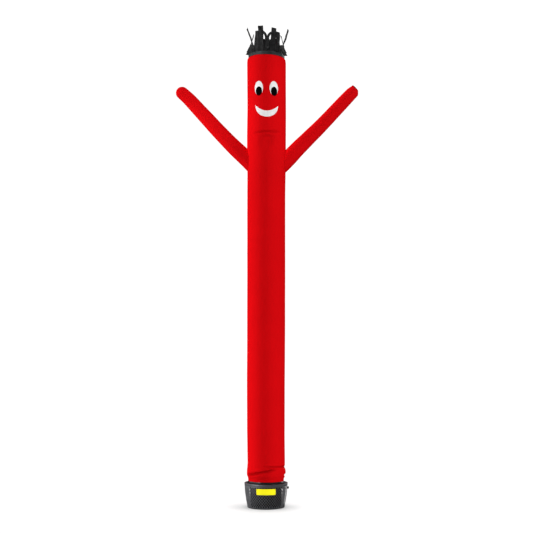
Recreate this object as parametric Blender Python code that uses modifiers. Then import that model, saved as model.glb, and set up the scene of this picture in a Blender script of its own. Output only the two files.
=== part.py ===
"""Inflatable air dancer on its blower, in metres, +Z up.

The origin is the middle of the blower's foot, on the floor. The dancer faces -Y, and +X is on the
right of someone who looks it in the face. Angles run round the upright axis from that front, towards +X.
"""
import math

import bmesh
import bpy
from mathutils import Vector

# Clearances and thicknesses
GAP = 0.0003               # between pieces that touch
CLOTH = 0.0015             # ripstop sheet
PATCH_CLOTH = 0.0010       # sewn-on face pieces
PATCH_LIFT = 0.0008        # a face piece's back, above the round of the tube
BODY_SIDES = 40            # flats round the body, the collar and the outlet

# Body tube: height, diameter, how far the middle drifts sideways
BODY_SECTIONS = (
    # height, diameter, drift
    (0.324, 0.4390, 0.000),
    (0.350, 0.4430, 0.000),
    (0.372, 0.4570, 0.001),
    (0.397, 0.4730, 0.000),
    (0.430, 0.4770, 0.001),
    (0.455, 0.4740, 0.001),
    (0.485, 0.4650, 0.000),
    (0.550, 0.4630, 0.003),
    (0.697, 0.4650, 0.001),
    (0.992, 0.4680, -0.002),
    (1.437, 0.4723, -0.002),
    (2.035, 0.4755, 0.001),
    (3.243, 0.4800, 0.003),
    (3.855, 0.4813, 0.003),
    (4.162, 0.4852, 0.006),
    (4.440, 0.4935, 0.005),
    (4.703, 0.4945, 0.006),
    (5.014, 0.4926, 0.009),
    (5.326, 0.4941, 0.007),
    (5.592, 0.4966, 0.006),
    (5.631, 0.4890, 0.006),
    (5.649, 0.4640, 0.006),
)
BODY_TOP = BODY_SECTIONS[-1][0]
HEM_TOP = 0.348            # the cloth grips the outlet below this height
VENT_SLANT = -0.034        # rise of the open top for each metre across
VENT_SLANT_FROM = 5.400    # the slant grows from here to the open top

# The body is sewn from three lengths of cloth. The rings of each lie closer where it is creased
BODY_PANELS = {
    # name: its stretches, from, to, rings
    "body_tube": ((0.3240, 0.348, 2), (0.348, 0.540, 20), (0.540, 4.100, 5)),
    "shoulder_panel": ((4.1003, 4.590, 2), (4.590, 4.655, 4)),
    "head_panel": ((4.6553, 4.720, 4), (4.720, 5.592, 4), (5.592, 5.649, 4)),
}

# The rings of the cuff slope across the front, as its creases do
CUFF_SLOPE = 0.046         # rise of the cuff's rings from front to right
CUFF_SLOPE_MOST = 0.445    # the ring that slopes most
CUFF_SLOPE_END = 0.600     # rings are level again from here

# Creases in the body, by the height of the ring that they lie on: a ridge lies under each
CREASES = (
    # from angle, from height, to angle, to height, depth, half width
    (-118, 0.428, 36, 0.448, 0.0170, 0.0110),
    (-8, 0.508, 116, 0.412, 0.0150, 0.0105),
    (58, 0.378, 130, 0.384, 0.0090, 0.0085),
    (98, 0.438, 218, 0.446, 0.0140, 0.0110),
    (146, 0.486, 262, 0.474, 0.0120, 0.0110),
    (-44, 4.654, 47, 4.660, 0.0080, 0.0130),
    (150, 4.650, 222, 4.646, 0.0060, 0.0140),
)
RIDGE_SHARE = 0.45         # the ridge's height, as a share of the crease's depth
RIDGE_DROP = 2.0           # the ridge's distance below the crease, in half widths

# Arms: places in the plane of the body, from inside the body to the tip
ARM_SIDES = 20
ARM_LEFT = (
    # across, height, diameter
    (-0.150, 4.257, 0.206),
    (-0.239, 4.348, 0.205),
    (-0.377, 4.479, 0.201),
    (-0.505, 4.609, 0.193),
    (-0.631, 4.742, 0.188),
    (-0.755, 4.878, 0.181),
    (-0.879, 5.014, 0.175),
    (-0.990, 5.133, 0.168),
    (-1.058, 5.196, 0.160),
)
ARM_LEFT_TIP_RINGS = 5
ARM_RIGHT = (
    # across, height, diameter
    (0.150, 4.230, 0.206),
    (0.254, 4.329, 0.204),
    (0.402, 4.487, 0.198),
    (0.529, 4.614, 0.187),
    (0.657, 4.741, 0.180),
    (0.783, 4.872, 0.172),
    (0.905, 5.005, 0.166),
    (1.028, 5.139, 0.159),
    (1.100, 5.217, 0.150),
    (1.190, 5.312, 0.130),
)
ARM_RIGHT_CUTS = (
    # a place on each cut of the open end, and which way the cut faces
    ((1.132, 0.0, 5.264), (0.74, 0.0, 0.67)),
    ((1.172, 0.0, 5.200), (1.00, 0.0, 0.05)),
)
HOLE_INSET = 0.004         # the body's hole is this much smaller all round than the arm

# Collar and hair
COLLAR_RADIUS = 0.2315
COLLAR_THICK = 0.0024
COLLAR_HEIGHT = 0.042
STRIP_THICK = 0.0014
STRIP_ROOT = 0.026         # where a strip starts, above the collar's lower edge
STRIP_INSET = 0.0008       # and how far inside the collar's wall
STRIP_STEPS = 4            # of a straight strip
CURL_PER_STEP = 14         # degrees of curl that take one step more
STRIPS = (
    # angle, length, width, lean out, curl out, curl from, curl to, lean aside, twist
    (-18, 0.340, 0.070, -1, 3, 0.3, 1.0, -1, 0),
    (18, 0.326, 0.066, 0, -4, 0.3, 1.0, 6, 0),
    (-36, 0.288, 0.066, -4, 6, 0.3, 1.0, 1, 4),
    (37, 0.274, 0.064, -4, 5, 0.3, 1.0, 4, -4),
    (0, 0.262, 0.027, -1, 4, 0.3, 1.0, -5, 0),
    (3, 0.258, 0.027, -3, 4, 0.3, 1.0, 9, 0),
    (-56, 0.274, 0.066, -5, 161, 0.40, 0.60, 0, 0),
    (56, 0.284, 0.066, -5, 158, 0.40, 0.60, 0, 0),
    (-74, 0.280, 0.060, -11, -4, 0.3, 0.9, 0, 6),
    (74, 0.274, 0.060, -11, -4, 0.3, 0.9, 0, -6),
    (-92, 0.392, 0.062, -23, 42, 0.42, 0.54, 0, 7),
    (92, 0.378, 0.062, -12, 31, 0.44, 0.56, 0, -7),
    (-111, 0.315, 0.062, -14, 8, 0.3, 0.9, 0, 8),
    (111, 0.310, 0.062, -14, 8, 0.3, 0.9, 0, -8),
    (-130, 0.350, 0.066, -8, -4, 0.3, 0.9, 2, 0),
    (130, 0.340, 0.066, -8, -4, 0.3, 0.9, -2, 0),
    (-150, 0.345, 0.066, -2, -6, 0.3, 0.9, 2, 0),
    (150, 0.352, 0.066, -2, -6, 0.3, 0.9, -2, 0),
    (-171, 0.312, 0.064, 2, -4, 0.3, 0.9, -1, 0),
    (171, 0.318, 0.064, -4, -4, 0.3, 0.9, 1, 0),
)

# Face: places across are arc lengths round the tube from its front
EYE_SIZE = (0.122, 0.191)
EYE_PLACES = {"left": (-0.103, 5.215), "right": (0.089, 5.211)}
PUPIL_SIZE = (0.0815, 0.113)
PUPIL_DROP = 0.0380
PUPIL_ASIDE = 0.002
MOUTH_HALF = 0.158
MOUTH_TIP_HEIGHT = 4.998
MOUTH_UPPER_SAG = 0.064
MOUTH_LOWER_SAG = 0.157
OVAL_SIDES = 20
OVAL_RINGS = 2
MOUTH_COLUMNS = 16
MOUTH_ROWS = 3

# Blower: radii and heights
BASE_RADIUS = 0.2300
BASE_FOOT_RADIUS = 0.2220
BASE_HEIGHT = 0.0120
GUARD_BOTTOM = BASE_HEIGHT + GAP
GUARD_TOP = 0.2740
GUARD_FOOT_RADIUS = 0.2275
GUARD_TOP_RADIUS = 0.2655
GUARD_BULGE = 1.6          # power of the bowl-shaped side
GUARD_THICK = 0.0030
GUARD_CELLS = 24           # diamonds round the guard
GUARD_ROWS = 7             # half diamonds from foot to top
GUARD_RIB = 0.0160         # width left between two holes
GUARD_PLAIN = ((-112, -48), (48, 66))    # stretches of plain sheet, in degrees
DECK_BOTTOM = GUARD_TOP + GAP
DECK_LIP_RADIUS = 0.2675
DECK_LIP_TOP = 0.3010
DECK_TOP = 0.2970
DECK_THICK = 0.0080
OUTLET_BORE = 0.2130
OUTLET_GRIP = 0.2177       # radius under the cloth's hem
OUTLET_FLANGE = 0.2305
OUTLET_FLANGE_TOP = 0.3150
OUTLET_TOP = 0.3700
DRUM_RADIUS = 0.1950
DRUM_TOP = 0.2640
ROUND_SIDES = 48
KNOB_ANGLE = 84
KNOB_HEIGHT = 0.2420
KNOB_RADIUS = 0.0110
KNOB_LENGTH = 0.0140
GLAND_ANGLE = 180
GLAND_HEIGHT = 0.0650
GLAND_RADIUS = 0.0130
GLAND_LENGTH = 0.0240
STUD_LIFT = 0.0004         # a knob's or gland's foot, above the round of the guard
STUD_PLAIN = 0.050         # the guard has no hole centred this near a stud
PLATE_WIDTH = 0.240
PLATE_LOW = 0.1780
PLATE_HIGH = 0.2500
PLATE_THICK = 0.0015
PLATE_COLUMNS = 16
PLATE_LIFT = 0.0006

for old in list(bpy.data.objects):
    bpy.data.objects.remove(old, do_unlink=True)

parts = bpy.data.collections.new("air_dancer")
cutters = bpy.data.collections.new("cutters")
bpy.context.scene.collection.children.link(parts)
bpy.context.scene.collection.children.link(cutters)


def material(name, colour, roughness, metallic=0.0):
    made = bpy.data.materials.new(name)
    made.use_nodes = True
    shader = made.node_tree.nodes["Principled BSDF"]
    shader.inputs["Base Color"].default_value = (*colour, 1.0)
    shader.inputs["Roughness"].default_value = roughness
    shader.inputs["Metallic"].default_value = metallic
    return made


RED_CLOTH = material("red_ripstop", (0.72, 0.005, 0.009), 0.55)
BLACK_CLOTH = material("black_ripstop", (0.022, 0.022, 0.023), 0.5)
WHITE_CLOTH = material("white_cloth", (0.85, 0.85, 0.85), 0.7)
PUPIL_CLOTH = material("black_cloth", (0.012, 0.012, 0.012), 0.7)
GUARD_STEEL = material("black_coated_steel", (0.035, 0.037, 0.041), 0.45, 0.3)
DARK_STEEL = material("dark_steel", (0.012, 0.013, 0.014), 0.6, 0.3)
BLACK_RUBBER = material("black_rubber", (0.010, 0.010, 0.010), 0.7)
YELLOW_PLATE = material("yellow_plate", (0.90, 0.80, 0.02), 0.4)


def add_object(name, mesh, finish, collection=parts):
    made = bpy.data.objects.new(name, mesh)
    mesh.materials.clear()
    mesh.materials.append(finish)
    collection.objects.link(made)
    return made


def mesh_from(bm, name):
    mesh = bpy.data.meshes.new(name)
    bm.to_mesh(mesh)
    bm.free()
    return mesh


def baked(source, name):
    """The mesh that an object's modifiers make, with the object removed."""
    graph = bpy.context.evaluated_depsgraph_get()
    mesh = bpy.data.meshes.new_from_object(source.evaluated_get(graph))
    mesh.name = name
    bpy.data.objects.remove(source, do_unlink=True)
    return mesh


def solidify(thing, thickness, offset=-1.0):
    shell = thing.modifiers.new("sheet", "SOLIDIFY")
    shell.thickness = thickness
    shell.offset = offset
    return shell


def cut(thing, cutter, operation="DIFFERENCE"):
    boolean = thing.modifiers.new("cut_" + cutter.name, "BOOLEAN")
    boolean.object = cutter
    boolean.operation = operation
    cutter.hide_render = True
    cutter.display_type = "WIRE"


def smooth(mesh, angle=40):
    mesh.shade_smooth()
    mesh.set_sharp_from_angle(angle=math.radians(angle))


def turned(name, profile, sides, finish, collection=parts, closed=True):
    """A turned piece: the profile's radii and heights run down its outer side."""
    bm = bmesh.new()
    points = [bm.verts.new((radius, 0.0, height)) for radius, height in profile]
    for first, second in zip(points, points[1:]):
        bm.edges.new((first, second))
    if closed:
        bm.edges.new((points[-1], points[0]))
    made = add_object(name, mesh_from(bm, name), finish, collection)
    screw = made.modifiers.new("turn", "SCREW")
    screw.steps = sides
    screw.render_steps = sides
    screw.use_merge_vertices = True
    screw.merge_threshold = 0.0001
    return made


def between(low, high, share):
    return low + (high - low) * share


def ease(share):
    share = min(max(share, 0.0), 1.0)
    return share * share * (3.0 - 2.0 * share)


def body_section(height):
    """Radius and sideways drift of the body at a height, eased between the sections."""
    rows = BODY_SECTIONS
    height = min(max(height, rows[0][0]), rows[-1][0])
    for lower, upper in zip(rows, rows[1:]):
        if height <= upper[0]:
            share = (height - lower[0]) / (upper[0] - lower[0])
            return between(lower[1], upper[1], share) / 2, between(lower[2], upper[2], share)
    return rows[-1][1] / 2, rows[-1][2]


def crease_depth(angle, height):
    """How far in the cloth lies at an angle and a height, from all the creases."""
    inward = 0.0
    for from_angle, from_height, to_angle, to_height, depth, half in CREASES:
        middle = (from_angle + to_angle) / 2
        turn = (angle - middle + 180) % 360 - 180
        along = turn / (to_angle - from_angle) + 0.5
        if not 0.0 < along < 1.0:
            continue
        away = (height - between(from_height, to_height, along)) / half
        fade = ease(min(along, 1.0 - along) * 4.0)
        trough = math.exp(-away * away)
        ridge = math.exp(-((away + RIDGE_DROP) ** 2))
        inward += depth * fade * (trough - RIDGE_SHARE * ridge)
    return inward * ease((height - HEM_TOP) / 0.03)


def cuff_slope(angle, height):
    """How far a ring of the cuff is raised at an angle."""
    if height < CUFF_SLOPE_MOST:
        share = ease((height - HEM_TOP) / (CUFF_SLOPE_MOST - HEM_TOP))
    else:
        share = ease((CUFF_SLOPE_END - height) / (CUFF_SLOPE_END - CUFF_SLOPE_MOST))
    return CUFF_SLOPE * share * math.sin(math.radians(angle))


def slanted(place):
    """A place near the open top, moved up or down by the slant of the vent."""
    share = ease((place[2] - VENT_SLANT_FROM) / (BODY_TOP - VENT_SLANT_FROM))
    return Vector((place[0], place[1], place[2] + VENT_SLANT * place[0] * share))


def ring_heights(stretches):
    heights = [stretches[0][0]]
    for low, high, rings in stretches:
        heights += [between(low, high, (ring + 1) / rings) for ring in range(rings)]
    return heights


def shaped_body(name, heights, collection=parts):
    """The outer face of the body or of a length of it, as an open surface."""
    profile = [(body_section(height)[0], height) for height in reversed(heights)]
    tube = turned(name, profile, BODY_SIDES, RED_CLOTH, collection, closed=False)
    mesh = baked(tube, name)
    for vertex in mesh.vertices:
        x, y, ring = vertex.co
        turn = math.atan2(x, -y)
        angle = math.degrees(turn)
        height = ring + cuff_slope(angle, ring)
        radius, drift = body_section(height)
        reach = radius - crease_depth(angle, ring)
        vertex.co = slanted((drift + reach * math.sin(turn), -reach * math.cos(turn), height))
    return add_object(name, mesh, RED_CLOTH, collection)


def arm_tube(name, rows, collection=parts, shrink=0.0, caps=False):
    """A tube along the arm's rows, open at both ends unless it is capped."""
    curve = bpy.data.curves.new(name, "CURVE")
    curve.dimensions = "3D"
    curve.bevel_depth = 1.0
    curve.bevel_resolution = (ARM_SIDES - 4) // 2
    curve.use_fill_caps = caps
    spline = curve.splines.new("POLY")
    spline.points.add(len(rows) - 1)
    for point, (across, height, diameter) in zip(spline.points, rows):
        point.co = (across, 0.0, height, 1.0)
        point.radius = diameter / 2 - shrink
    tube = bpy.data.objects.new(name, curve)
    collection.objects.link(tube)
    mesh = baked(tube, name)
    bm = bmesh.new()
    bm.from_mesh(mesh)
    bmesh.ops.remove_doubles(bm, verts=bm.verts, dist=0.00001)
    bmesh.ops.recalc_face_normals(bm, faces=bm.faces)
    bm.to_mesh(mesh)
    bm.free()
    return add_object(name, mesh, RED_CLOTH, collection)


def rounded_tip(rows, rings):
    """The arm's rows with a round end added to the last of them."""
    before, last = Vector(rows[-2][:2]), Vector(rows[-1][:2])
    way = (last - before).normalized()
    radius = rows[-1][2] / 2
    tip = []
    for ring in range(1, rings + 1):
        turn = math.radians(88) * ring / rings
        place = last + way * radius * math.sin(turn)
        tip.append((place.x, place.y, 2 * radius * math.cos(turn)))
    return rows + tuple(tip)


def build_body_and_arms():
    every_height = []
    for name, stretches in BODY_PANELS.items():
        heights = ring_heights(stretches)
        every_height += heights
        panel = shaped_body(name, heights)
        solidify(panel, CLOTH)
    keep_out = shaped_body("body_room", every_height, cutters)
    shoulders = bpy.data.objects["shoulder_panel"]
    bm = bmesh.new()
    bm.from_mesh(keep_out.data)
    bmesh.ops.holes_fill(bm, edges=[edge for edge in bm.edges if edge.is_boundary])
    for vertex in bm.verts:
        vertex.co += Vector((vertex.co.x, vertex.co.y, 0.0)).normalized() * GAP
    bmesh.ops.recalc_face_normals(bm, faces=bm.faces)
    bm.to_mesh(keep_out.data)
    bm.free()
    for name, rows in (("arm_left", ARM_LEFT), ("arm_right", ARM_RIGHT)):
        bore = arm_tube(name + "_bore", rows[:3], cutters, CLOTH + HOLE_INSET, caps=True)
        cut(shoulders, bore)
        if name == "arm_left":
            arm = arm_tube(name, rounded_tip(rows, ARM_LEFT_TIP_RINGS))
            bm = bmesh.new()
            bm.from_mesh(arm.data)
            tip_ring = [edge for edge in bm.edges if edge.is_boundary and edge.verts[0].co.x < -1.0]
            bmesh.ops.holes_fill(bm, edges=tip_ring)
        else:
            arm = arm_tube(name, rows)
            bm = bmesh.new()
            bm.from_mesh(arm.data)
            for place, facing in ARM_RIGHT_CUTS:
                every = bm.verts[:] + bm.edges[:] + bm.faces[:]
                bmesh.ops.bisect_plane(
                    bm, geom=every, plane_co=place, plane_no=facing, clear_outer=True)
        bmesh.ops.recalc_face_normals(bm, faces=bm.faces)
        bm.to_mesh(arm.data)
        bm.free()
        solidify(arm, CLOTH)
        cut(arm, keep_out)
        smooth(arm.data)
    for name in BODY_PANELS:
        smooth(bpy.data.objects[name].data)


def strip_mesh(angle, length, width, lean, curl, curl_from, curl_to, aside, twist):
    """One hair strip, a flat ribbon from inside the collar up along its own curl."""
    turn = math.radians(angle)
    out = Vector((math.sin(turn), -math.cos(turn), 0.0))
    along_ring = Vector((math.cos(turn), math.sin(turn), 0.0))
    up = Vector((0.0, 0.0, 1.0))
    drift = body_section(BODY_TOP)[1]
    place = Vector((drift, 0.0, BODY_TOP + GAP + STRIP_ROOT))
    place += out * (COLLAR_RADIUS - COLLAR_THICK - STRIP_INSET)
    steps = STRIP_STEPS + round(abs(curl) / CURL_PER_STEP)
    bm = bmesh.new()
    ring = None
    for step in range(steps + 1):
        share = step / steps
        curled = ease((share - curl_from) / (curl_to - curl_from))
        pitch = math.radians(lean * ease(share * 5) + curl * curled)
        sway = math.radians(aside) * ease(share * 3)
        way = up * math.cos(pitch) + out * math.sin(pitch)
        way = way * math.cos(sway) + along_ring * math.sin(sway)
        side = (along_ring - way * along_ring.dot(way)).normalized()
        spin = math.radians(twist) * share
        across = side * math.cos(spin) + way.cross(side) * math.sin(spin)
        face = across.cross(way)
        if step:
            place = place + way * length / steps
        corners = [
            bm.verts.new(slanted(place + across * width * half + face * STRIP_THICK * skin))
            for half, skin in ((-0.5, 0.5), (0.5, 0.5), (0.5, -0.5), (-0.5, -0.5))
        ]
        if ring is None:
            bm.faces.new(corners)
        else:
            for index, corner in enumerate(corners):
                after = (index + 1) % len(corners)
                bm.faces.new((ring[index], ring[after], corners[after], corner))
        ring = corners
    bm.faces.new(list(reversed(ring)))
    bmesh.ops.recalc_face_normals(bm, faces=bm.faces)
    return mesh_from(bm, "strip")


def build_hair():
    low = BODY_TOP + GAP
    inner, high = COLLAR_RADIUS - COLLAR_THICK, low + COLLAR_HEIGHT
    profile = [(inner, high), (COLLAR_RADIUS, high), (COLLAR_RADIUS, low), (inner, low)]
    collar = turned("collar", profile, BODY_SIDES, BLACK_CLOTH)
    mesh = baked(collar, "hair_fringe")
    for vertex in mesh.vertices:
        vertex.co.x += body_section(BODY_TOP)[1]
        vertex.co = slanted(vertex.co)
    hair = add_object("hair_fringe", mesh, BLACK_CLOTH)
    for row in STRIPS:
        strip = add_object("strip_%d" % row[0], strip_mesh(*row), BLACK_CLOTH, cutters)
        cut(hair, strip, "UNION")


def on_tube(across, height, lift):
    """A place on the tube's front, an arc length from its middle and a lift off its round."""
    radius, drift = body_section(height)
    turn = across / radius
    return drift + (radius + lift) * math.sin(turn), -(radius + lift) * math.cos(turn), height


def wrap_patch(name, bm, lift, finish):
    """A flat patch in x and y laid round the tube, with its thickness outwards."""
    bmesh.ops.recalc_face_normals(bm, faces=bm.faces)
    if sum(face.normal.z for face in bm.faces) < 0:
        bmesh.ops.reverse_faces(bm, faces=bm.faces)
    for vertex in bm.verts:
        vertex.co = on_tube(vertex.co.x, vertex.co.y, lift)
    patch = add_object(name, mesh_from(bm, name), finish)
    solidify(patch, PATCH_CLOTH, offset=1.0)


def oval(name, place, size, lift, finish):
    bm = bmesh.new()
    bmesh.ops.create_circle(bm, cap_ends=True, cap_tris=True, segments=OVAL_SIDES, radius=0.5)
    spokes = [edge for edge in bm.edges if not edge.is_boundary]
    bmesh.ops.subdivide_edges(bm, edges=spokes, cuts=OVAL_RINGS - 1)
    for vertex in bm.verts:
        vertex.co.x = place[0] + vertex.co.x * size[0]
        vertex.co.y = place[1] + vertex.co.y * size[1]
    wrap_patch(name, bm, lift, finish)


def build_face():
    pupil_lift = PATCH_LIFT + PATCH_CLOTH + PATCH_LIFT
    for side, (across, height) in EYE_PLACES.items():
        oval("eye_" + side, (across, height), EYE_SIZE, PATCH_LIFT, WHITE_CLOTH)
        pupil = (across + PUPIL_ASIDE, height - PUPIL_DROP)
        oval("pupil_" + side, pupil, PUPIL_SIZE, pupil_lift, PUPIL_CLOTH)
    bm = bmesh.new()
    bmesh.ops.create_grid(bm, x_segments=MOUTH_COLUMNS, y_segments=MOUTH_ROWS, size=1.0)
    for vertex in bm.verts:
        across = math.sin(math.pi / 2 * vertex.co.x)
        upper = MOUTH_UPPER_SAG * (1.0 - across * across)
        lower = MOUTH_LOWER_SAG * math.sqrt(max(0.0, 1.0 - across * across))
        sag = between(lower, upper, (vertex.co.y + 1.0) / 2)
        vertex.co = (across * MOUTH_HALF, MOUTH_TIP_HEIGHT - sag, 0.0)
    bmesh.ops.remove_doubles(bm, verts=bm.verts, dist=0.0001)
    wrap_patch("mouth", bm, PATCH_LIFT, WHITE_CLOTH)


def guard_radius(height):
    share = max(0.0, 1.0 - height / GUARD_TOP)
    return GUARD_TOP_RADIUS - (GUARD_TOP_RADIUS - GUARD_FOOT_RADIUS) * share ** GUARD_BULGE


def is_plain(angle, height):
    """Whether the guard's sheet has no hole at a place."""
    if any(low < angle < high for low, high in GUARD_PLAIN):
        return True
    for stud_angle, stud_height in ((KNOB_ANGLE, KNOB_HEIGHT), (GLAND_ANGLE, GLAND_HEIGHT)):
        turn = math.radians((angle - stud_angle + 180) % 360 - 180)
        if math.hypot(turn * guard_radius(height), height - stud_height) < STUD_PLAIN:
            return True
    return False


def build_guard():
    """Diamonds are marked out on the flat sheet, cut, and the sheet is rolled up."""
    columns = GUARD_CELLS * 2
    step = (GUARD_TOP - GUARD_BOTTOM) / GUARD_ROWS
    wide = 2 * math.pi * guard_radius(GUARD_TOP / 2) / columns
    bm = bmesh.new()
    bmesh.ops.create_grid(bm, x_segments=columns, y_segments=GUARD_ROWS, size=0.5)
    for vertex in bm.verts:
        vertex.co.x = round((vertex.co.x + 0.5) * columns)
        vertex.co.y = round((vertex.co.y + 0.5) * GUARD_ROWS)

    def is_corner(vertex):
        return (round(vertex.co.x) + round(vertex.co.y)) % 2 == 0

    def is_hole(vertex):
        angle = vertex.co.x * 360 / columns - 180
        return not is_plain(angle, GUARD_BOTTOM + vertex.co.y * step)

    for face in list(bm.faces):
        bmesh.ops.connect_verts(bm, verts=[vertex for vertex in face.verts if is_corner(vertex)])
    middles = [vertex for vertex in bm.verts if not is_corner(vertex) and not vertex.is_boundary]
    bmesh.ops.dissolve_verts(bm, verts=[vertex for vertex in middles if is_hole(vertex)])
    for vertex in bm.verts:
        vertex.co = (vertex.co.x * wide, GUARD_BOTTOM + vertex.co.y * step, 0.0)
    holes = [face for face in bm.faces if len(face.verts) == 4]
    bmesh.ops.inset_individual(bm, faces=holes, thickness=GUARD_RIB / 2)
    bmesh.ops.delete(bm, geom=holes, context="FACES")
    for vertex in bm.verts:
        turn = math.radians(vertex.co.x / wide * 360 / columns - 180)
        radius, height = guard_radius(vertex.co.y), vertex.co.y
        vertex.co = (radius * math.sin(turn), -radius * math.cos(turn), height)
    bmesh.ops.remove_doubles(bm, verts=bm.verts, dist=0.00005)
    bmesh.ops.recalc_face_normals(bm, faces=bm.faces)
    guard = add_object("blower_guard", mesh_from(bm, "blower_guard"), GUARD_STEEL)
    solidify(guard, GUARD_THICK)


def build_blower():
    turned("blower_base", [
        (0.0, BASE_HEIGHT), (BASE_RADIUS - 0.001, BASE_HEIGHT), (BASE_RADIUS, BASE_HEIGHT - 0.001),
        (BASE_RADIUS - 0.001, 0.005), (BASE_FOOT_RADIUS, 0.0), (0.0, 0.0),
    ], ROUND_SIDES, DARK_STEEL, closed=False)
    build_guard()
    inner = GUARD_TOP_RADIUS - GUARD_THICK
    turned("blower_deck", [
        (OUTLET_BORE, DECK_TOP), (DECK_LIP_RADIUS - 0.008, DECK_TOP),
        (DECK_LIP_RADIUS - 0.005, DECK_LIP_TOP), (DECK_LIP_RADIUS - 0.002, DECK_LIP_TOP),
        (DECK_LIP_RADIUS, DECK_LIP_TOP - 0.002), (DECK_LIP_RADIUS, DECK_BOTTOM + 0.002),
        (DECK_LIP_RADIUS - 0.002, DECK_BOTTOM), (inner, DECK_BOTTOM),
        (inner, DECK_TOP - DECK_THICK), (OUTLET_BORE, DECK_TOP - DECK_THICK),
    ], ROUND_SIDES, GUARD_STEEL)
    seat = DECK_TOP + GAP
    turned("outlet_ring", [
        (OUTLET_BORE, OUTLET_TOP), (OUTLET_GRIP - 0.0015, OUTLET_TOP),
        (OUTLET_GRIP, OUTLET_TOP - 0.0015), (OUTLET_GRIP, OUTLET_FLANGE_TOP + 0.004),
        (OUTLET_FLANGE - 0.004, OUTLET_FLANGE_TOP), (OUTLET_FLANGE, OUTLET_FLANGE_TOP - 0.004),
        (OUTLET_FLANGE, seat), (OUTLET_BORE, seat),
    ], BODY_SIDES, DARK_STEEL)
    turned("fan_drum", [
        (0.0, DRUM_TOP), (DRUM_RADIUS - 0.012, DRUM_TOP), (DRUM_RADIUS - 0.004, DRUM_TOP - 0.004),
        (DRUM_RADIUS, DRUM_TOP - 0.012), (DRUM_RADIUS, BASE_HEIGHT + GAP), (0.0, BASE_HEIGHT + GAP),
    ], ROUND_SIDES, DARK_STEEL, closed=False)


def build_stud(name, angle, height, radius, length, rounding, finish):
    """A short turned stud that stands square on the guard's slope."""
    turn = math.radians(angle)
    stud = turned(name, [
        (0.0, length), (radius - rounding, length), (radius, length - rounding),
        (radius, 0.0), (0.0, 0.0),
    ], 20, finish, closed=False)
    reach = guard_radius(height) + STUD_LIFT
    slope = (guard_radius(height + radius) - guard_radius(height - radius)) / (2 * radius)
    stud.location = (reach * math.sin(turn), -reach * math.cos(turn), height)
    stud.rotation_euler = (math.radians(90) + math.atan(slope), 0.0, turn)


def build_plate():
    bm = bmesh.new()
    bmesh.ops.create_grid(bm, x_segments=PLATE_COLUMNS, y_segments=2, size=0.5)
    for vertex in bm.verts:
        height = between(PLATE_LOW, PLATE_HIGH, vertex.co.y + 0.5)
        radius = guard_radius(height) + PLATE_LIFT
        turn = vertex.co.x * PLATE_WIDTH / radius
        vertex.co = (radius * math.sin(turn), -radius * math.cos(turn), height)
    plate = add_object("blank_plate", mesh_from(bm, "blank_plate"), YELLOW_PLATE)
    solidify(plate, PLATE_THICK, offset=1.0)


build_body_and_arms()
build_hair()
build_face()
build_blower()
build_stud("guard_knob", KNOB_ANGLE, KNOB_HEIGHT, KNOB_RADIUS, KNOB_LENGTH, 0.004, BLACK_RUBBER)
build_stud("cord_gland", GLAND_ANGLE, GLAND_HEIGHT, GLAND_RADIUS, GLAND_LENGTH, 0.003, BLACK_RUBBER)
build_plate()
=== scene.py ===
"""Inflatable air dancer on its fan blower: the finish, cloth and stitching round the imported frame.

Metres, +Z up. The dancer faces -Y and +X is on the right of someone who looks it in the face.
Angles run round the upright axis from that front towards +X, in degrees.
"""
import math

import bmesh
import bpy
from mathutils import Matrix, Vector, noise


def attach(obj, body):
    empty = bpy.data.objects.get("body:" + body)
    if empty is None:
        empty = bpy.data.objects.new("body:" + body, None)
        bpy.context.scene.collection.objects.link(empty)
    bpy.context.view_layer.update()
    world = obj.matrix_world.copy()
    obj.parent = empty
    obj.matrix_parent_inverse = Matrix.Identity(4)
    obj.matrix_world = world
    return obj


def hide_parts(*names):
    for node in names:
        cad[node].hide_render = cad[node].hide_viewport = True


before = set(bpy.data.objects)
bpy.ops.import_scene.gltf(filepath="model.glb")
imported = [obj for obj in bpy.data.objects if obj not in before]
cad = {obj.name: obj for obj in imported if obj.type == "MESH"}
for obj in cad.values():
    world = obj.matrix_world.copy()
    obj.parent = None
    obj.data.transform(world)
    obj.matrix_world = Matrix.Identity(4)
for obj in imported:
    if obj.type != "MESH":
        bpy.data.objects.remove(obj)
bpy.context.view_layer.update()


# Studio
# A pale floor without an edge, and soft lights on both sides, in front, behind and overhead. Three more
# show in gloss only, and a narrow one is for the left arm. The camera stands thirteen metres away.
CAMERA_PLACE = (0.006, -13.0, 1.9)
CAMERA_PITCH = 4.7657
CAMERA_LENS = 69.91
CAMERA_REACH = 1000.0
SOFT_LIGHTS = (
    # name, angle, elevation, strength, width of the light as seen from the dancer, what it gives
    ("left", -96, 2, 2.96, 26, "shade"),
    ("front", -10, 4, 1.54, 30, "shade"),
    ("right", 78, 2, 1.95, 34, "shade"),
    ("behind", 182, 10, 1.90, 40, "shade"),
    ("overhead", 0, 84, 1.05, 80, "both"),
    ("window", -88, 6, 1.18, 90, "gloss"),
    ("streak", -46, 6, 0.28, 20, "gloss"),
    ("rim", 135, 8, 0.46, 40, "gloss"),
)
SHADOWLESS = "left"         # this one reaches past the arm and the tube
ARM_LIGHT_PLACE = Vector((-4.6, -8.0, 2.4))
ARM_LIGHT_AIM = Vector((-0.90, 0.0, 4.79))
ARM_LIGHT_POWER = 1250.0
ARM_LIGHT_CONE = 8.0        # degrees
ARM_LIGHT_BLEND = 0.7       # how much of the cone fades to its edge
ARM_LIGHT_SIZE = 0.5
WHITE = (1.0, 1.0, 1.0, 1.0)
SKY_LIGHT = 0.06            # what the surroundings give to the pieces
SKY_SEEN = 1.06             # and how bright they are to the camera
FLOOR_HALF = 200.0
FLOOR_WHITE = 0.30
FLOOR_WHITE_SEEN = 0.40
FLOOR_GLOW_SEEN = 0.80
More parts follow.
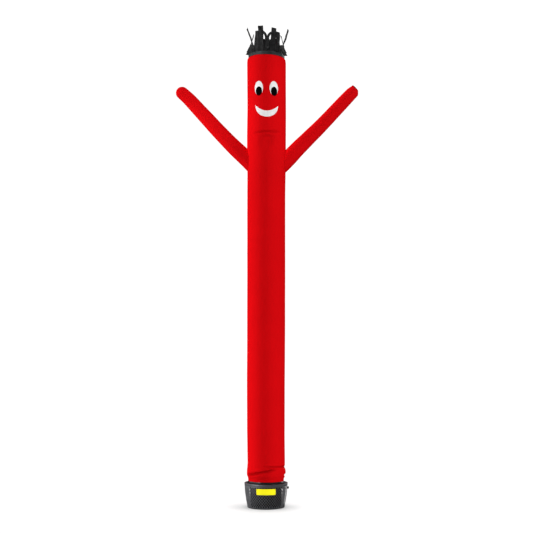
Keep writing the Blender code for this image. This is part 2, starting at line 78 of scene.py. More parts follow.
FLOOR_SHADE_REACH = 0.36    # how near a thing puts a painted contact shadow into the floor's glow
FLOOR_SHADE_SAMPLES = 24
FLOOR_OPEN = 0.96           # with this much of the sky in view it isn't darkened,
FLOOR_HIDDEN = 0.50         # and with this much or less it gets down to
FLOOR_SHADE = 0.45

scene = bpy.context.scene
scene.view_settings.view_transform = "Standard"
scene.view_settings.look = "None"

camera = bpy.data.objects.new("camera", bpy.data.cameras.new("camera"))
camera.location = CAMERA_PLACE
camera.rotation_euler = (math.radians(90 + CAMERA_PITCH), 0.0, 0.0)
camera.data.lens = CAMERA_LENS
camera.data.clip_end = CAMERA_REACH
scene.collection.objects.link(camera)
scene.camera = camera


def facing(angle, elevation=0.0):
    """The way out from the upright axis at an angle, raised by an elevation."""
    turn, rise = math.radians(angle), math.radians(elevation)
    return Vector((math.sin(turn) * math.cos(rise), -math.cos(turn) * math.cos(rise), math.sin(rise)))


def hang_light(light_name, kind, energy, way, place=(0.0, 0.0, 0.0)):
    """A light that a way leads to from what it lights."""
    lamp = bpy.data.lights.new("light_" + light_name, kind)
    lamp.energy = energy
    holder = bpy.data.objects.new("light_" + light_name, lamp)
    holder.location = place
    holder.rotation_euler = way.to_track_quat("Z", "Y").to_euler()
    scene.collection.objects.link(holder)
    return holder


for light_name, angle, elevation, strength, width, gives in SOFT_LIGHTS:
    holder = hang_light(light_name, "SUN", strength, facing(angle, elevation))
    holder.data.angle = math.radians(width)
    holder.visible_glossy = gives != "shade"
    holder.visible_diffuse = gives != "gloss"
    holder.data.use_shadow = light_name != SHADOWLESS
arm_light = hang_light("left_arm", "SPOT", ARM_LIGHT_POWER, ARM_LIGHT_PLACE - ARM_LIGHT_AIM, ARM_LIGHT_PLACE)
arm_light.data.spot_size = math.radians(ARM_LIGHT_CONE)
arm_light.data.spot_blend = ARM_LIGHT_BLEND
arm_light.data.shadow_soft_size = ARM_LIGHT_SIZE
arm_light.visible_glossy = False


def fill(node, values):
    """Gives a node's sockets numbers, colours or other nodes' outputs."""
    for name, value in values.items():
        if isinstance(value, bpy.types.NodeSocket):
            node.id_data.links.new(value, node.inputs[name])
        else:
            node.inputs[name].default_value = value


def put(tree, kind, values=None, give=0, **settings):
    """One output of a new shader node."""
    made = tree.nodes.new("ShaderNode" + kind)
    for name, value in settings.items():
        setattr(made, name, value)
    fill(made, values or {})
    return made.outputs[give]


def seen_or_cast(tree, seen, cast):
    """A strength that is one number to the camera and another to the rest."""
    to_camera = put(tree, "LightPath", give="Is Camera Ray")
    return put(tree, "MapRange", {"Value": to_camera, "To Min": cast, "To Max": seen})


def new_finish(name):
    """An empty material, with its node tree and its shader."""
    made = bpy.data.materials.new(name)
    made.use_nodes = True
    return made, made.node_tree, made.node_tree.nodes["Principled BSDF"]


def placed(name, form):
    """A bmesh as an object in the scene."""
    made = bpy.data.objects.new(name, bpy.data.meshes.new(name))
    form.to_mesh(made.data)
    form.free()
    scene.collection.objects.link(made)
    return made


sky = bpy.data.worlds.new("sky")
sky.use_nodes = True
scene.world = sky
fill(sky.node_tree.nodes["Background"],
     {"Color": WHITE, "Strength": seen_or_cast(sky.node_tree, SKY_SEEN, SKY_LIGHT)})

floor_form = bmesh.new()
bmesh.ops.create_grid(floor_form, x_segments=1, y_segments=1, size=FLOOR_HALF)
floor = placed("floor", floor_form)
floor_paint, floor_tree, floor_shader = new_finish("floor_white")
# A painted contact shadow: the floor's glow is darkened where its ambient occlusion finds things near.
open_sky = put(floor_tree, "AmbientOcclusion", {"Distance": FLOOR_SHADE_REACH}, "AO",
               samples=FLOOR_SHADE_SAMPLES)
shade = put(floor_tree, "MapRange", {
    "Value": open_sky, "From Min": FLOOR_HIDDEN, "From Max": FLOOR_OPEN,
    "To Min": FLOOR_SHADE, "To Max": 1.0})
glow = seen_or_cast(floor_tree, FLOOR_GLOW_SEEN, 0.0)
fill(floor_shader, {
    "Base Color": seen_or_cast(floor_tree, FLOOR_WHITE_SEEN, FLOOR_WHITE), "Roughness": 1.0,
    "Specular IOR Level": 0.0, "Emission Color": WHITE,
    "Emission Strength": put(floor_tree, "Math", {0: glow, 1: shade}, operation="MULTIPLY")})
floor.data.materials.append(floor_paint)
floor.visible_shadow = False


# Blower foot
# A pressed steel pan with a turned-under edge, powder coated black, that stands on the ground.
# The guard stands on it and the fan's drum is bolted inside.
PAN_RADIUS = 0.2300
PAN_FOOT_RADIUS = 0.2220
PAN_HEIGHT = 0.0120
PAN_PROFILE = (
    # radius, height, from the middle of the top round to the middle of the foot
    (0.0000, PAN_HEIGHT), (0.2240, PAN_HEIGHT), (0.2262, PAN_HEIGHT - 0.0010), (0.2284, PAN_HEIGHT),
    (PAN_RADIUS - 0.0007, PAN_HEIGHT - 0.0003), (PAN_RADIUS, PAN_HEIGHT - 0.0016), (PAN_RADIUS, 0.0068),
    (PAN_RADIUS - 0.0008, 0.0050), (PAN_FOOT_RADIUS + 0.0012, 0.0006), (PAN_FOOT_RADIUS, 0.0000),
    (0.2120, 0.0000), (0.2090, 0.0016), (0.0000, 0.0016),
)
TURN_STEPS = 144
MERGE = 0.00002             # points closer than this are one
SHARP_FROM = 40             # degrees between two faces that meet in a hard edge


def speckle(tree, scale, detail, roughness=0.5):
    """A noise over the piece's own coordinates."""
    return put(tree, "TexNoise", {"Vector": put(tree, "TexCoord", give="Object"), "Scale": scale,
                                  "Detail": detail, "Roughness": roughness}, "Fac")


def spread(tree, noisy, low, high):
    """The middle of a noise's range, spread from low to high."""
    return put(tree, "MapRange", {
        "Value": noisy, "From Min": 0.3, "From Max": 0.7, "To Min": low, "To Max": high})


def bumped(tree, height, strength, distance, **under):
    return put(tree, "Bump", {"Height": height, "Strength": strength, "Distance": distance, **under})


def coated_steel(name, colour, roughness, grain, specular=0.5, metallic=0.0):
    """Powder coat: a fine orange peel, a little uneven in gloss and tone."""
    made, tree, shader = new_finish(name)
    wear = speckle(tree, 9.0, 5.0, 0.65)
    tone = put(tree, "ValToRGB", {"Fac": wear}, "Color")
    for end, position, share in zip(tone.node.color_ramp.elements, (0.34, 0.68), (0.82, 1.18)):
        end.position = position
        end.color = (*(min(1.0, part * share) for part in colour), 1.0)
    fill(shader, {"Base Color": tone, "Metallic": metallic, "Specular IOR Level": specular,
                  "Roughness": spread(tree, wear, roughness * 0.85, roughness * 1.2),
                  "Normal": bumped(tree, speckle(tree, grain, 2.0), 0.10, 0.0004)})
    return made


def piece(name, form, finish, replaced=()):
    """A finished piece from a bmesh: smooth shaded, riding on the frame, in its material slot."""
    made = placed(name, form)
    made.data.shade_smooth()
    made.data.set_sharp_from_angle(angle=math.radians(SHARP_FROM))
    made.data.materials.append(finish)
    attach(made, "root")
    if replaced:
        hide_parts(*([replaced] if isinstance(replaced, str) else replaced))
    return made


def turned(profile, steps=TURN_STEPS, closed=False):
    """A profile of radii and heights spun round the upright axis."""
    form = bmesh.new()
    points = [form.verts.new((radius, 0.0, height)) for radius, height in profile]
    edges = [form.edges.new(pair) for pair in zip(points, points[1:])]
    if closed:
        edges.append(form.edges.new((points[-1], points[0])))
    bmesh.ops.spin(form, geom=points + edges, axis=(0, 0, 1), cent=(0, 0, 0),
                   angle=2 * math.pi, steps=steps, use_merge=True)
    bmesh.ops.remove_doubles(form, verts=form.verts, dist=MERGE)
    bmesh.ops.recalc_face_normals(form, faces=form.faces)
    return form


black_coat = coated_steel("black_powder_coat", (0.016, 0.017, 0.019), 0.50, 900.0)
piece("blower_pan", turned(PAN_PROFILE), black_coat, "blower_base")


# Fan drum
# The dark housing of the motor and the fan, seen only through the holes of the guard.
# Its own solid has the right form, so it only gets its coat.
# Its near-black coat, darker than the pan's, is partly its own colour and partly painted shade for the inside
# of the guard.
drum_coat_and_painted_shade = coated_steel("drum_coat_and_painted_shade", (0.004, 0.004, 0.005), 0.70, 500.0, specular=0.05)
cad["fan_drum"].data.materials.clear()
cad["fan_drum"].data.materials.append(drum_coat_and_painted_shade)


# Blower guard
# Sheet steel punched with diamonds at a pitch of 33 mm across, rolled to a bowl-sided basket and
# coated grey. Two stretches of it are left plain, and its edges are hemmed over.
UP = Vector((0.0, 0.0, 1.0))
GUARD_FOOT = 0.0123
GUARD_TOP = 0.2740
GUARD_FOOT_RADIUS = 0.2275
GUARD_TOP_RADIUS = 0.2655
GUARD_BULGE = 1.6
GUARD_SHEET = 0.0016
GUARD_COLUMNS = 96          # from hole to hole it is two columns and two rows
GUARD_ROWS = 14
GUARD_RIB = 0.0072
GUARD_CORNER = 0.0022
ROUNDED_POINTS = 11         # a diamond with rounded corners has at least so many points
GUARD_PLAIN = ((-112, -50), (50, 66))
KNOB_AT = (84, 0.2420)      # angle, height
GLAND_AT = (180, 0.0650)
STUD_PLAIN = 0.026          # how far from a stud's middle the sheet is left plain
GUARD_MERGE = 0.00005       # where the sheet's two ends meet
GUARD_HEM = 0.0075
GUARD_HEM_LIFT = 0.0009
GUARD_HEM_THICK = 0.0030
GUARD_HEM_ROUND = 0.0008


def guard_radius(height):
    share = max(0.0, 1.0 - height / GUARD_TOP)
    return GUARD_TOP_RADIUS - (GUARD_TOP_RADIUS - GUARD_FOOT_RADIUS) * share ** GUARD_BULGE


def punched(angle, height):
    """Whether the guard's sheet has a hole at a place."""
    if any(low < angle < high for low, high in GUARD_PLAIN):
        return False
    for stud_angle, stud_height in (KNOB_AT, GLAND_AT):
        turn = math.radians((angle - stud_angle + 180) % 360 - 180)
        if math.hypot(turn * guard_radius(height), height - stud_height) < STUD_PLAIN:
            return False
    return True


def guard_angle(column):
    return column * 360 / GUARD_COLUMNS - 180


def grid(across, up):
    """A flat grid, one metre on a side."""
    form = bmesh.new()
    bmesh.ops.create_grid(form, x_segments=across, y_segments=up, size=0.5)
    return form


def round_corners(form, corners, size, steps):
    bmesh.ops.bevel(form, geom=corners, offset=size, affect="VERTICES", segments=steps, profile=0.5,
                    material=-1)


def between_holes(vertex):
    return (round(vertex.co.x) + round(vertex.co.y)) % 2 == 0


def walled(made, thickness, offset=-1.0):
    wall = made.modifiers.new("wall", "SOLIDIFY")
    wall.thickness = thickness
    wall.offset = offset
    return made


row_step = (GUARD_TOP - GUARD_FOOT) / GUARD_ROWS
column_step = 2 * math.pi * guard_radius(GUARD_TOP / 2) / GUARD_COLUMNS
guard = grid(GUARD_COLUMNS, GUARD_ROWS)
for vertex in guard.verts:
    vertex.co = (round((vertex.co.x + 0.5) * GUARD_COLUMNS), round((vertex.co.y + 0.5) * GUARD_ROWS), 0.0)
for face in list(guard.faces):
    bmesh.ops.connect_verts(guard, verts=[vertex for vertex in face.verts if between_holes(vertex)])
bmesh.ops.dissolve_verts(guard, verts=[
    vertex for vertex in guard.verts
    if not between_holes(vertex) and not vertex.is_boundary
    and punched(guard_angle(vertex.co.x), GUARD_FOOT + vertex.co.y * row_step)])
for vertex in guard.verts:
    vertex.co = (vertex.co.x * column_step, GUARD_FOOT + vertex.co.y * row_step, 0.0)
holes = [face for face in guard.faces if len(face.verts) == 4]
bmesh.ops.inset_individual(guard, faces=holes, thickness=GUARD_RIB / 2)
round_corners(guard, list({vertex for face in holes for vertex in face.verts}), GUARD_CORNER, 2)
punched_out = []
for face in guard.faces:
    middle = face.calc_center_median()
    if len(face.verts) >= ROUNDED_POINTS and punched(guard_angle(middle.x / column_step), middle.y):
        punched_out.append(face)
bmesh.ops.delete(guard, geom=punched_out, context="FACES")
for vertex in guard.verts:
    height = vertex.co.y
    vertex.co = facing(guard_angle(vertex.co.x / column_step)) * guard_radius(height) + UP * height
bmesh.ops.remove_doubles(guard, verts=guard.verts, dist=GUARD_MERGE)
bmesh.ops.recalc_face_normals(guard, faces=guard.faces)
grey_coat = coated_steel("grey_powder_coat", (0.36, 0.37, 0.395), 0.50, 900.0, metallic=1.0)
walled(piece("guard_basket", guard, grey_coat, "blower_guard"), GUARD_SHEET)

for hem_name, low, high in (("guard_hem_top", GUARD_TOP - GUARD_HEM, GUARD_TOP),
                            ("guard_hem_foot", GUARD_FOOT, GUARD_FOOT + GUARD_HEM)):
    low_out, high_out = guard_radius(low) + GUARD_HEM_LIFT, guard_radius(high) + GUARD_HEM_LIFT
    hem = turned((
        (high_out - GUARD_HEM_THICK, high), (high_out - GUARD_HEM_ROUND, high),
        (high_out, high - GUARD_HEM_ROUND), (low_out, low + GUARD_HEM_ROUND),
        (low_out - GUARD_HEM_ROUND, low), (low_out - GUARD_HEM_THICK, low)), closed=True)
    piece(hem_name, hem, grey_coat)


# Blower deck
# A turned cover of coated sheet steel on top of the basket, with its outer edge rolled up into a
# lip and eight pan-headed screws in its flat part.
DECK_FLAT = 0.2970
DECK_LIP_TOP = 0.3010
DECK_UNDER = 0.2743
DECK_LIP = 0.2675
DECK_SKIRT = 0.2625
DECK_SHEET = 0.0016
OUTLET_BORE = 0.2130
deck = turned((
    (OUTLET_BORE, DECK_FLAT), (DECK_LIP - 0.0090, DECK_FLAT), (DECK_LIP - 0.0066, DECK_FLAT + 0.0008),
    (DECK_LIP - 0.0050, DECK_LIP_TOP - 0.0010), (DECK_LIP - 0.0036, DECK_LIP_TOP),
    (DECK_LIP - 0.0018, DECK_LIP_TOP), (DECK_LIP - 0.0005, DECK_LIP_TOP - 0.0008),
    (DECK_LIP, DECK_LIP_TOP - 0.0024), (DECK_LIP, DECK_UNDER + 0.0018),
    (DECK_LIP - 0.0005, DECK_UNDER + 0.0005), (DECK_LIP - 0.0018, DECK_UNDER), (DECK_SKIRT, DECK_UNDER),
    (DECK_SKIRT, DECK_FLAT - DECK_SHEET), (OUTLET_BORE, DECK_FLAT - DECK_SHEET)), closed=True)
deck_coat = coated_steel("deck_powder_coat", (0.30, 0.31, 0.335), 0.46, 900.0, metallic=1.0)
piece("deck_sheet", deck, deck_coat, "blower_deck")

SCREW_CIRCLE = 0.2460
SCREW_HEADS = 8
SCREW_LIFT = 0.0002
SCREW_STEPS = 16
SCREW_PROFILE = (
    # radius, height above the deck, from the recess in the head out to its foot
    (0.0000, 0.0014), (0.0018, 0.0014), (0.0021, 0.0027), (0.0034, 0.0025), (0.0046, 0.0017),
    (0.0050, 0.0006), (0.0050, 0.0000), (0.0000, 0.0000),
)


def add_form(form, extra):
    """Adds a finished form to a larger one and lets it go."""
    holder = bpy.data.meshes.new("part_of_piece")
    extra.to_mesh(holder)
    extra.free()
    form.from_mesh(holder)
    bpy.data.meshes.remove(holder)


screws = bmesh.new()
for number in range(SCREW_HEADS):
    screw = turned(SCREW_PROFILE, SCREW_STEPS)
    spot = facing((number + 0.5) * 360 / SCREW_HEADS) * SCREW_CIRCLE
    bmesh.ops.translate(screw, vec=spot + UP * (DECK_FLAT + SCREW_LIFT), verts=screw.verts)
    add_form(screws, screw)
piece("deck_screws", screws, black_coat)


# Outlet ring
# A moulded spigot with a flange, dark plastic, that the cloth's foot is pulled down over. A black
# band round the foot of its flange is painted shade where the flange meets the deck.
OUTLET_SEAT = 0.2973
OUTLET_GRIP = 0.2177
OUTLET_FLANGE = 0.2305
OUTLET_FLANGE_TOP = 0.3150
OUTLET_TOP = 0.3700
outlet = turned((
    (OUTLET_BORE, OUTLET_TOP - 0.0006), (OUTLET_BORE + 0.0006, OUTLET_TOP),
    (OUTLET_GRIP - 0.0016, OUTLET_TOP), (OUTLET_GRIP - 0.0004, OUTLET_TOP - 0.0005),
    (OUTLET_GRIP, OUTLET_TOP - 0.0018), (OUTLET_GRIP, OUTLET_FLANGE_TOP + 0.0050),
    (OUTLET_GRIP + 0.0014, OUTLET_FLANGE_TOP + 0.0016), (OUTLET_GRIP + 0.0046, OUTLET_FLANGE_TOP),
    (OUTLET_FLANGE - 0.0036, OUTLET_FLANGE_TOP),
    (OUTLET_FLANGE - 0.0010, OUTLET_FLANGE_TOP - 0.0010), (OUTLET_FLANGE, OUTLET_FLANGE_TOP - 0.0036),
    (OUTLET_FLANGE, OUTLET_SEAT), (OUTLET_BORE, OUTLET_SEAT)), closed=True)


def moulded(name, colour, roughness, specular):
    """Moulded plastic or rubber: an even colour with a faint mould texture."""
    made, tree, shader = new_finish(name)
    fill(shader, {"Base Color": (*colour, 1.0), "Specular IOR Level": specular,
                  "Roughness": spread(tree, speckle(tree, 14.0, 4.0), roughness * 0.8, roughness * 1.25),
                  "Normal": bumped(tree, speckle(tree, 420.0, 3.0), 0.15, 0.0003)})
    return made


dark_plastic = moulded("dark_moulding", (0.006, 0.009, 0.010), 0.20, 1.0)
black_rubber = moulded("black_rubber_finish", (0.008, 0.008, 0.009), 0.62, 0.2)
piece("outlet_spigot", outlet, dark_plastic, "outlet_ring")
# The black band is painted shade at the foot of the flange, not a part of the ring.
shade_band = turned([(OUTLET_FLANGE + out, height) for out, height in (
    (0.0003, OUTLET_SEAT + 0.0010), (0.0015, OUTLET_SEAT + 0.0010), (0.0021, OUTLET_SEAT + 0.0030),
    (0.0021, OUTLET_FLANGE_TOP - 0.0060), (0.0015, OUTLET_FLANGE_TOP - 0.0040),
    (0.0003, OUTLET_FLANGE_TOP - 0.0040))], closed=True)
piece("outlet_shade_band", shade_band, black_rubber)


# Guard knob
# A black rubber push knob on the right of the guard, near its top.
STUD_LIFT = 0.0004
STUD_STEPS = 40
SLOPE_STEP = 0.01           # over how much height on each side the guard's slope is measured
KNOB_PROFILE = (
    # radius, height above the guard's sheet
    (0.0000, 0.0196), (0.0070, 0.0194), (0.0115, 0.0180), (0.0140, 0.0154), (0.0150, 0.0120),
    (0.0145, 0.0080), (0.0128, 0.0048), (0.0122, 0.0010), (0.0132, 0.0000), (0.0000, 0.0000),
)


def on_guard(form, angle, height, lift):
    """Stands a form that was turned upright square on the guard's slope, and gives it back."""
    slope = (guard_radius(height + SLOPE_STEP) - guard_radius(height - SLOPE_STEP)) / (2 * SLOPE_STEP)
    out = (facing(angle) - UP * slope).normalized()
    stand = out.to_track_quat("Z", "Y").to_matrix().to_4x4()
    stand.translation = facing(angle) * guard_radius(height) + UP * height + out * lift
    bmesh.ops.transform(form, matrix=stand, verts=form.verts)
    return form


piece("guard_knob_cap", on_guard(turned(KNOB_PROFILE, STUD_STEPS), *KNOB_AT, STUD_LIFT),
      black_rubber, "guard_knob")


# Cord gland
# The black rubber gland low on the guard's back, where the fan's mains cord would leave. No cord
# is fitted.
GLAND_PROFILE = (
    # radius, height above the guard's sheet
    (0.0000, 0.0180), (0.0040, 0.0180), (0.0046, 0.0236), (0.0070, 0.0240), (0.0084, 0.0228),
    (0.0094, 0.0190), (0.0088, 0.0176), (0.0100, 0.0164), (0.0092, 0.0150), (0.0106, 0.0138),
    (0.0100, 0.0122), (0.0130, 0.0106), (0.0130, 0.0006), (0.0124, 0.0000), (0.0000, 0.0000),
)
piece("cord_gland_boot", on_guard(turned(GLAND_PROFILE, STUD_STEPS), *GLAND_AT, STUD_LIFT),
      black_rubber, "cord_gland")


# Name plate
# A blank fluorescent yellow plate with rounded corners and a painted glow, on the front of the guard, held by
# four rivets.
# More rivets hold the guard's two laps.
PLATE_WIDTH = 0.240
PLATE_LOW = 0.1780
PLATE_HIGH = 0.2500
PLATE_THICK = 0.0014
PLATE_LIFT = 0.0007
PLATE_CORNER = 0.0036
PLATE_GRID = (48, 12)
PLATE_PAINTED_GLOW = 0.22           # painted glow: the lacquer gives out yellow light of its own, so it is brighter than its lamps make it
RIVET_INSET = 0.009
RIVET_STEPS = 12
RIVET_PROFILE = (
    # radius, height above what it holds
    (0.0000, 0.0019), (0.0014, 0.0017), (0.0025, 0.0011), (0.0031, 0.0003), (0.0031, 0.0000),
    (0.0000, 0.0000),
)
LAP_ANGLES = (-109, -53, 53, 63)
LAP_HEIGHTS = (0.030, 0.090, 0.150, 0.210, 0.258)


def outward(form, start=Vector(), way=UP):
    """Turns the faces so that they face away from a middle line: the upright axis, if none is given."""
    bmesh.ops.recalc_face_normals(form, faces=form.faces)
    facing_out = 0.0
    for face in form.faces:
        away = face.calc_center_median() - start
        facing_out += face.normal.dot(away - way * away.dot(way))
    if facing_out < 0:
        bmesh.ops.reverse_faces(form, faces=form.faces)


def tinted(tree, tone, colour):
    return put(tree, "VectorMath", {0: tone, 1: colour}, operation="MULTIPLY")


def lacquer(name, colour, glow):
    made, tree, shader = new_finish(name)
    tone = spread(tree, speckle(tree, 40.0, 5.0), 0.95, 1.0)
    # The emission is a painted glow in the lacquer's own colour.
    fill(shader, {"Base Color": tinted(tree, tone, colour), "Roughness": 0.35, "Specular IOR Level": 0.25,
                  "Emission Color": (*colour, 1.0), "Emission Strength": glow})
    return made


plate = grid(*PLATE_GRID)
bmesh.ops.scale(plate, vec=(PLATE_WIDTH, PLATE_HIGH - PLATE_LOW, 1.0), verts=plate.verts)
plate_corners = [vertex for vertex in plate.verts if len(vertex.link_edges) == 2]
round_corners(plate, plate_corners, PLATE_CORNER, 4)
for vertex in plate.verts:
    height = (PLATE_LOW + PLATE_HIGH) / 2 + vertex.co.y
    radius = guard_radius(height) + PLATE_LIFT
    vertex.co = facing(math.degrees(vertex.co.x / radius)) * radius + UP * height
outward(plate)
yellow_lacquer = lacquer("yellow_lacquer", (0.98, 0.90, 0.012), PLATE_PAINTED_GLOW)
walled(piece("name_plate", plate, yellow_lacquer, "blank_plate"), PLATE_THICK, 1.0)

rivets = bmesh.new()
plate_rivets = [
    (math.degrees(across / guard_radius(height)), height, PLATE_LIFT + PLATE_THICK)
    for across in (RIVET_INSET - PLATE_WIDTH / 2, PLATE_WIDTH / 2 - RIVET_INSET)
    for height in (PLATE_LOW + RIVET_INSET, PLATE_HIGH - RIVET_INSET)]
lap_rivets = [(angle, height, 0.0) for angle in LAP_ANGLES for height in LAP_HEIGHTS]
for angle, height, lift in plate_rivets + lap_rivets:
    add_form(rivets, on_guard(turned(RIVET_PROFILE, RIVET_STEPS), angle, height, lift))
piece("guard_rivets", rivets, black_coat)


# Body tube
# One width of red coated ripstop nylon, sewn into a tube by a felled seam down the back, hemmed at
# its foot and at the vent in the head, and blown tight. It is gripped on the outlet ring by its foot.
BODY_SECTIONS = (
    # height, diameter, drift of its middle to the side
    (0.324, 0.4390, 0.000), (0.350, 0.4430, 0.000), (0.372, 0.4570, 0.001), (0.397, 0.4730, 0.000),
    (0.430, 0.4770, 0.001), (0.455, 0.4740, 0.001), (0.485, 0.4650, 0.000), (0.550, 0.4630, 0.003),
    (0.697, 0.4650, 0.001), (0.992, 0.4680, -0.002), (1.437, 0.4723, -0.002), (2.035, 0.4755, 0.001),
    (3.243, 0.4800, 0.003), (3.855, 0.4813, 0.003), (4.162, 0.4852, 0.006), (4.440, 0.4935, 0.005),
    (4.703, 0.4945, 0.006), (5.014, 0.4926, 0.009), (5.326, 0.4941, 0.007), (5.592, 0.4966, 0.006),
    (5.631, 0.4890, 0.006), (5.649, 0.4640, 0.006),
)
BODY_FOOT = BODY_SECTIONS[0][0]
BODY_TOP = BODY_SECTIONS[-1][0]
BODY_COLUMNS = 168
BODY_STRETCHES = (
    # from, to, rings
    (0.324, 0.348, 4), (0.348, 0.620, 56), (0.620, 4.080, 52), (4.080, 4.120, 6),
    (4.120, 4.520, 36), (4.520, 4.780, 34), (4.780, 5.560, 20), (5.560, 5.649, 12),
)
BODY_FLAT_RADIUS = 0.239    # of the tube that the flat cloth would make
HEM_TOP = 0.348
CUFF_SLOPE = 0.046          # how much the rings above the hem tilt, at most at one height
CUFF_SLOPE_MOST = 0.445
CUFF_SLOPE_END = 0.600
VENT_SLANT = -0.034
VENT_SLANT_FROM = 5.400
CREASES = (
    # from angle, from height, to angle, to height, depth, half width
    (-88, 0.440, 42, 0.463, 0.0250, 0.0140),
    (-16, 0.520, 108, 0.435, 0.0145, 0.0115),
    (58, 0.378, 130, 0.384, 0.0130, 0.0090),
    (98, 0.438, 218, 0.446, 0.0140, 0.0110),
    (146, 0.486, 278, 0.474, 0.0120, 0.0110),
    (-44, 4.652, 50, 4.662, 0.0130, 0.0130),
    (150, 4.650, 222, 4.646, 0.0060, 0.0140),
)
CREASE_ENDS = 0.25          # share of a crease's length in which each of its ends fades
CREASE_CLEAR = 0.03         # and how far above the hem it fades
RIDGE_SHARE = 0.36          # how high the ridge under a crease stands, as a share of the crease's depth
RIDGE_DROP = 2.2            # in the crease's half widths: how far below the crease it lies,
RIDGE_HALF = 1.9            # its own half width
RIDGE_TAIL = 4.2            # and how slowly it fades on its way down
RIDGE_ABOVE = 0.5           # share of it that the ridge over the crease gets
# The creases' cloth is darkened with painted shade, deepest on each crease's line.
CREASE_SHADE_DEPTH = 0.060          # a crease of this depth gets the darkest painted shade
CREASE_SHADE_HALF = 1.2
WAVES = 0.0008              # the cloth's own unevenness
WAVES_ROUND = 1.6
WAVES_UP = 4.0
WAVES_CLEAR = 0.05          # how far from both ends it starts
SHOULDER_DENT = (
    # angle and height of its top and of its foot, depth, half width in degrees
    (8, 4.630), (-8, 4.380), 0.020, 15,
)
DENT_TOP = 0.2              # share of the dent's length in which its top fades
DENT_FOOT = 0.625           # and its foot
PANEL_SEAMS = (4.100, 4.655)
SEAM_RISE = 0.0008
SEAM_HALF = 0.006
VENT_HEM = 0.020
BACK_SEAM = 1.5             # degrees on each side
HEM_TONE = 0.08             # how dark hems and seams are, on the scale where the deepest painted crease shade is one
THREAD_GRID = 0.0062
THREAD_HALF = (0.00018, 0.00050)        # half width of a thick thread, full and faded out


def between(low, high, share):
    return low + (high - low) * share


def ease(share):
    share = min(max(share, 0.0), 1.0)
    return share * share * (3.0 - 2.0 * share)


def eased_row(rows, place, column):
    """A column of a table at a place in its first column, without kinks at the rows."""
    place = min(max(place, rows[0][0]), rows[-1][0])
    at = next(index for index in range(1, len(rows)) if place <= rows[index][0])
    low, high = rows[at - 1], rows[at]
    span = high[0] - low[0]
    steep = (high[column] - low[column]) / span

    def slope(index):
        if index <= 0 or index >= len(rows) - 1:
            return steep
        before = (rows[index][column] - rows[index - 1][column]) / (rows[index][0] - rows[index - 1][0])
        after = (rows[index + 1][column] - rows[index][column]) / (rows[index + 1][0] - rows[index][0])
        return 0.0 if before * after <= 0 else 2 * before * after / (before + after)

    share = (place - low[0]) / span
    start, end = slope(at - 1) * span, slope(at) * span
    square, cube = share * share, share ** 3
    return (low[column] * (2 * cube - 3 * square + 1) + start * (cube - 2 * square + share)
            + high[column] * (3 * square - 2 * cube) + end * (cube - square))


def body_radius(height):
    return eased_row(BODY_SECTIONS, height, 1) / 2


def body_drift(height):
    return eased_row(BODY_SECTIONS, height, 2)


def crease_marks(angle, height):
    """For each crease near a place: its depth there, and how far above it the place is in half widths."""
    for from_angle, from_height, to_angle, to_height, depth, half in CREASES:
        turn = (angle - (from_angle + to_angle) / 2 + 180) % 360 - 180
        along = turn / (to_angle - from_angle) + 0.5
        if 0.0 < along < 1.0:
            away = (height - between(from_height, to_height, along)) / half
            ends = ease(min(along, 1.0 - along) / CREASE_ENDS)
            yield depth * ends * ease((height - HEM_TOP) / CREASE_CLEAR), away


def crease_depth(angle, height):
    inward = 0.0
    for depth, away in crease_marks(angle, height):
        past = away + RIDGE_DROP
        ridges = (math.exp(-(past / (RIDGE_HALF if past > 0 else RIDGE_TAIL)) ** 2)
                  + RIDGE_ABOVE * math.exp(-((away - RIDGE_DROP) ** 2)))
        inward += depth * (math.exp(-away * away) - RIDGE_SHARE * ridges)
    return inward


def painted_crease_shade(angle, height):
    """Painted shade in the creases: how much the cloth's colour is darkened there, most on each crease's
    line.
    """
    return max((depth / CREASE_SHADE_DEPTH * math.exp(-((away / CREASE_SHADE_HALF) ** 2))
                for depth, away in crease_marks(angle, height)), default=0.0)


def dent_depth(angle, height):
    """The soft hollow that runs from the neck crease down across the chest."""
    (top_angle, top_height), (foot_angle, foot_height), depth, half = SHOULDER_DENT
    along = (top_height - height) / (top_height - foot_height)
    if not 0.0 < along < 1.0:
        return 0.0
    away = (angle - between(top_angle, foot_angle, along)) / half
    return depth * math.exp(-away * away) * ease(along / DENT_TOP) * ease((1.0 - along) / DENT_FOOT)


def body_place(angle, ring, lift=0.0):
    """A place on the body's outer face, at an angle and at a ring's height."""
    if ring < CUFF_SLOPE_MOST:
        share = ease((ring - HEM_TOP) / (CUFF_SLOPE_MOST - HEM_TOP))
    else:
        share = ease((CUFF_SLOPE_END - ring) / (CUFF_SLOPE_END - CUFF_SLOPE_MOST))
    out = facing(angle)
    height = ring + CUFF_SLOPE * share * out.x
    reach = body_radius(height) - crease_depth(angle, ring) - dent_depth(angle, ring) + lift
    reach += sum(SEAM_RISE * math.exp(-((ring - seam) / SEAM_HALF) ** 2) for seam in PANEL_SEAMS)
    waves = WAVES * ease((ring - HEM_TOP) / WAVES_CLEAR) * ease((BODY_TOP - ring) / WAVES_CLEAR)
    reach += waves * noise.noise(Vector((out.x * WAVES_ROUND, out.y * WAVES_ROUND, ring * WAVES_UP)))
    place = out * reach + Vector((body_drift(height), 0.0, height))
    place.z += VENT_SLANT * place.x * ease((ring - VENT_SLANT_FROM) / (BODY_TOP - VENT_SLANT_FROM))
    return place


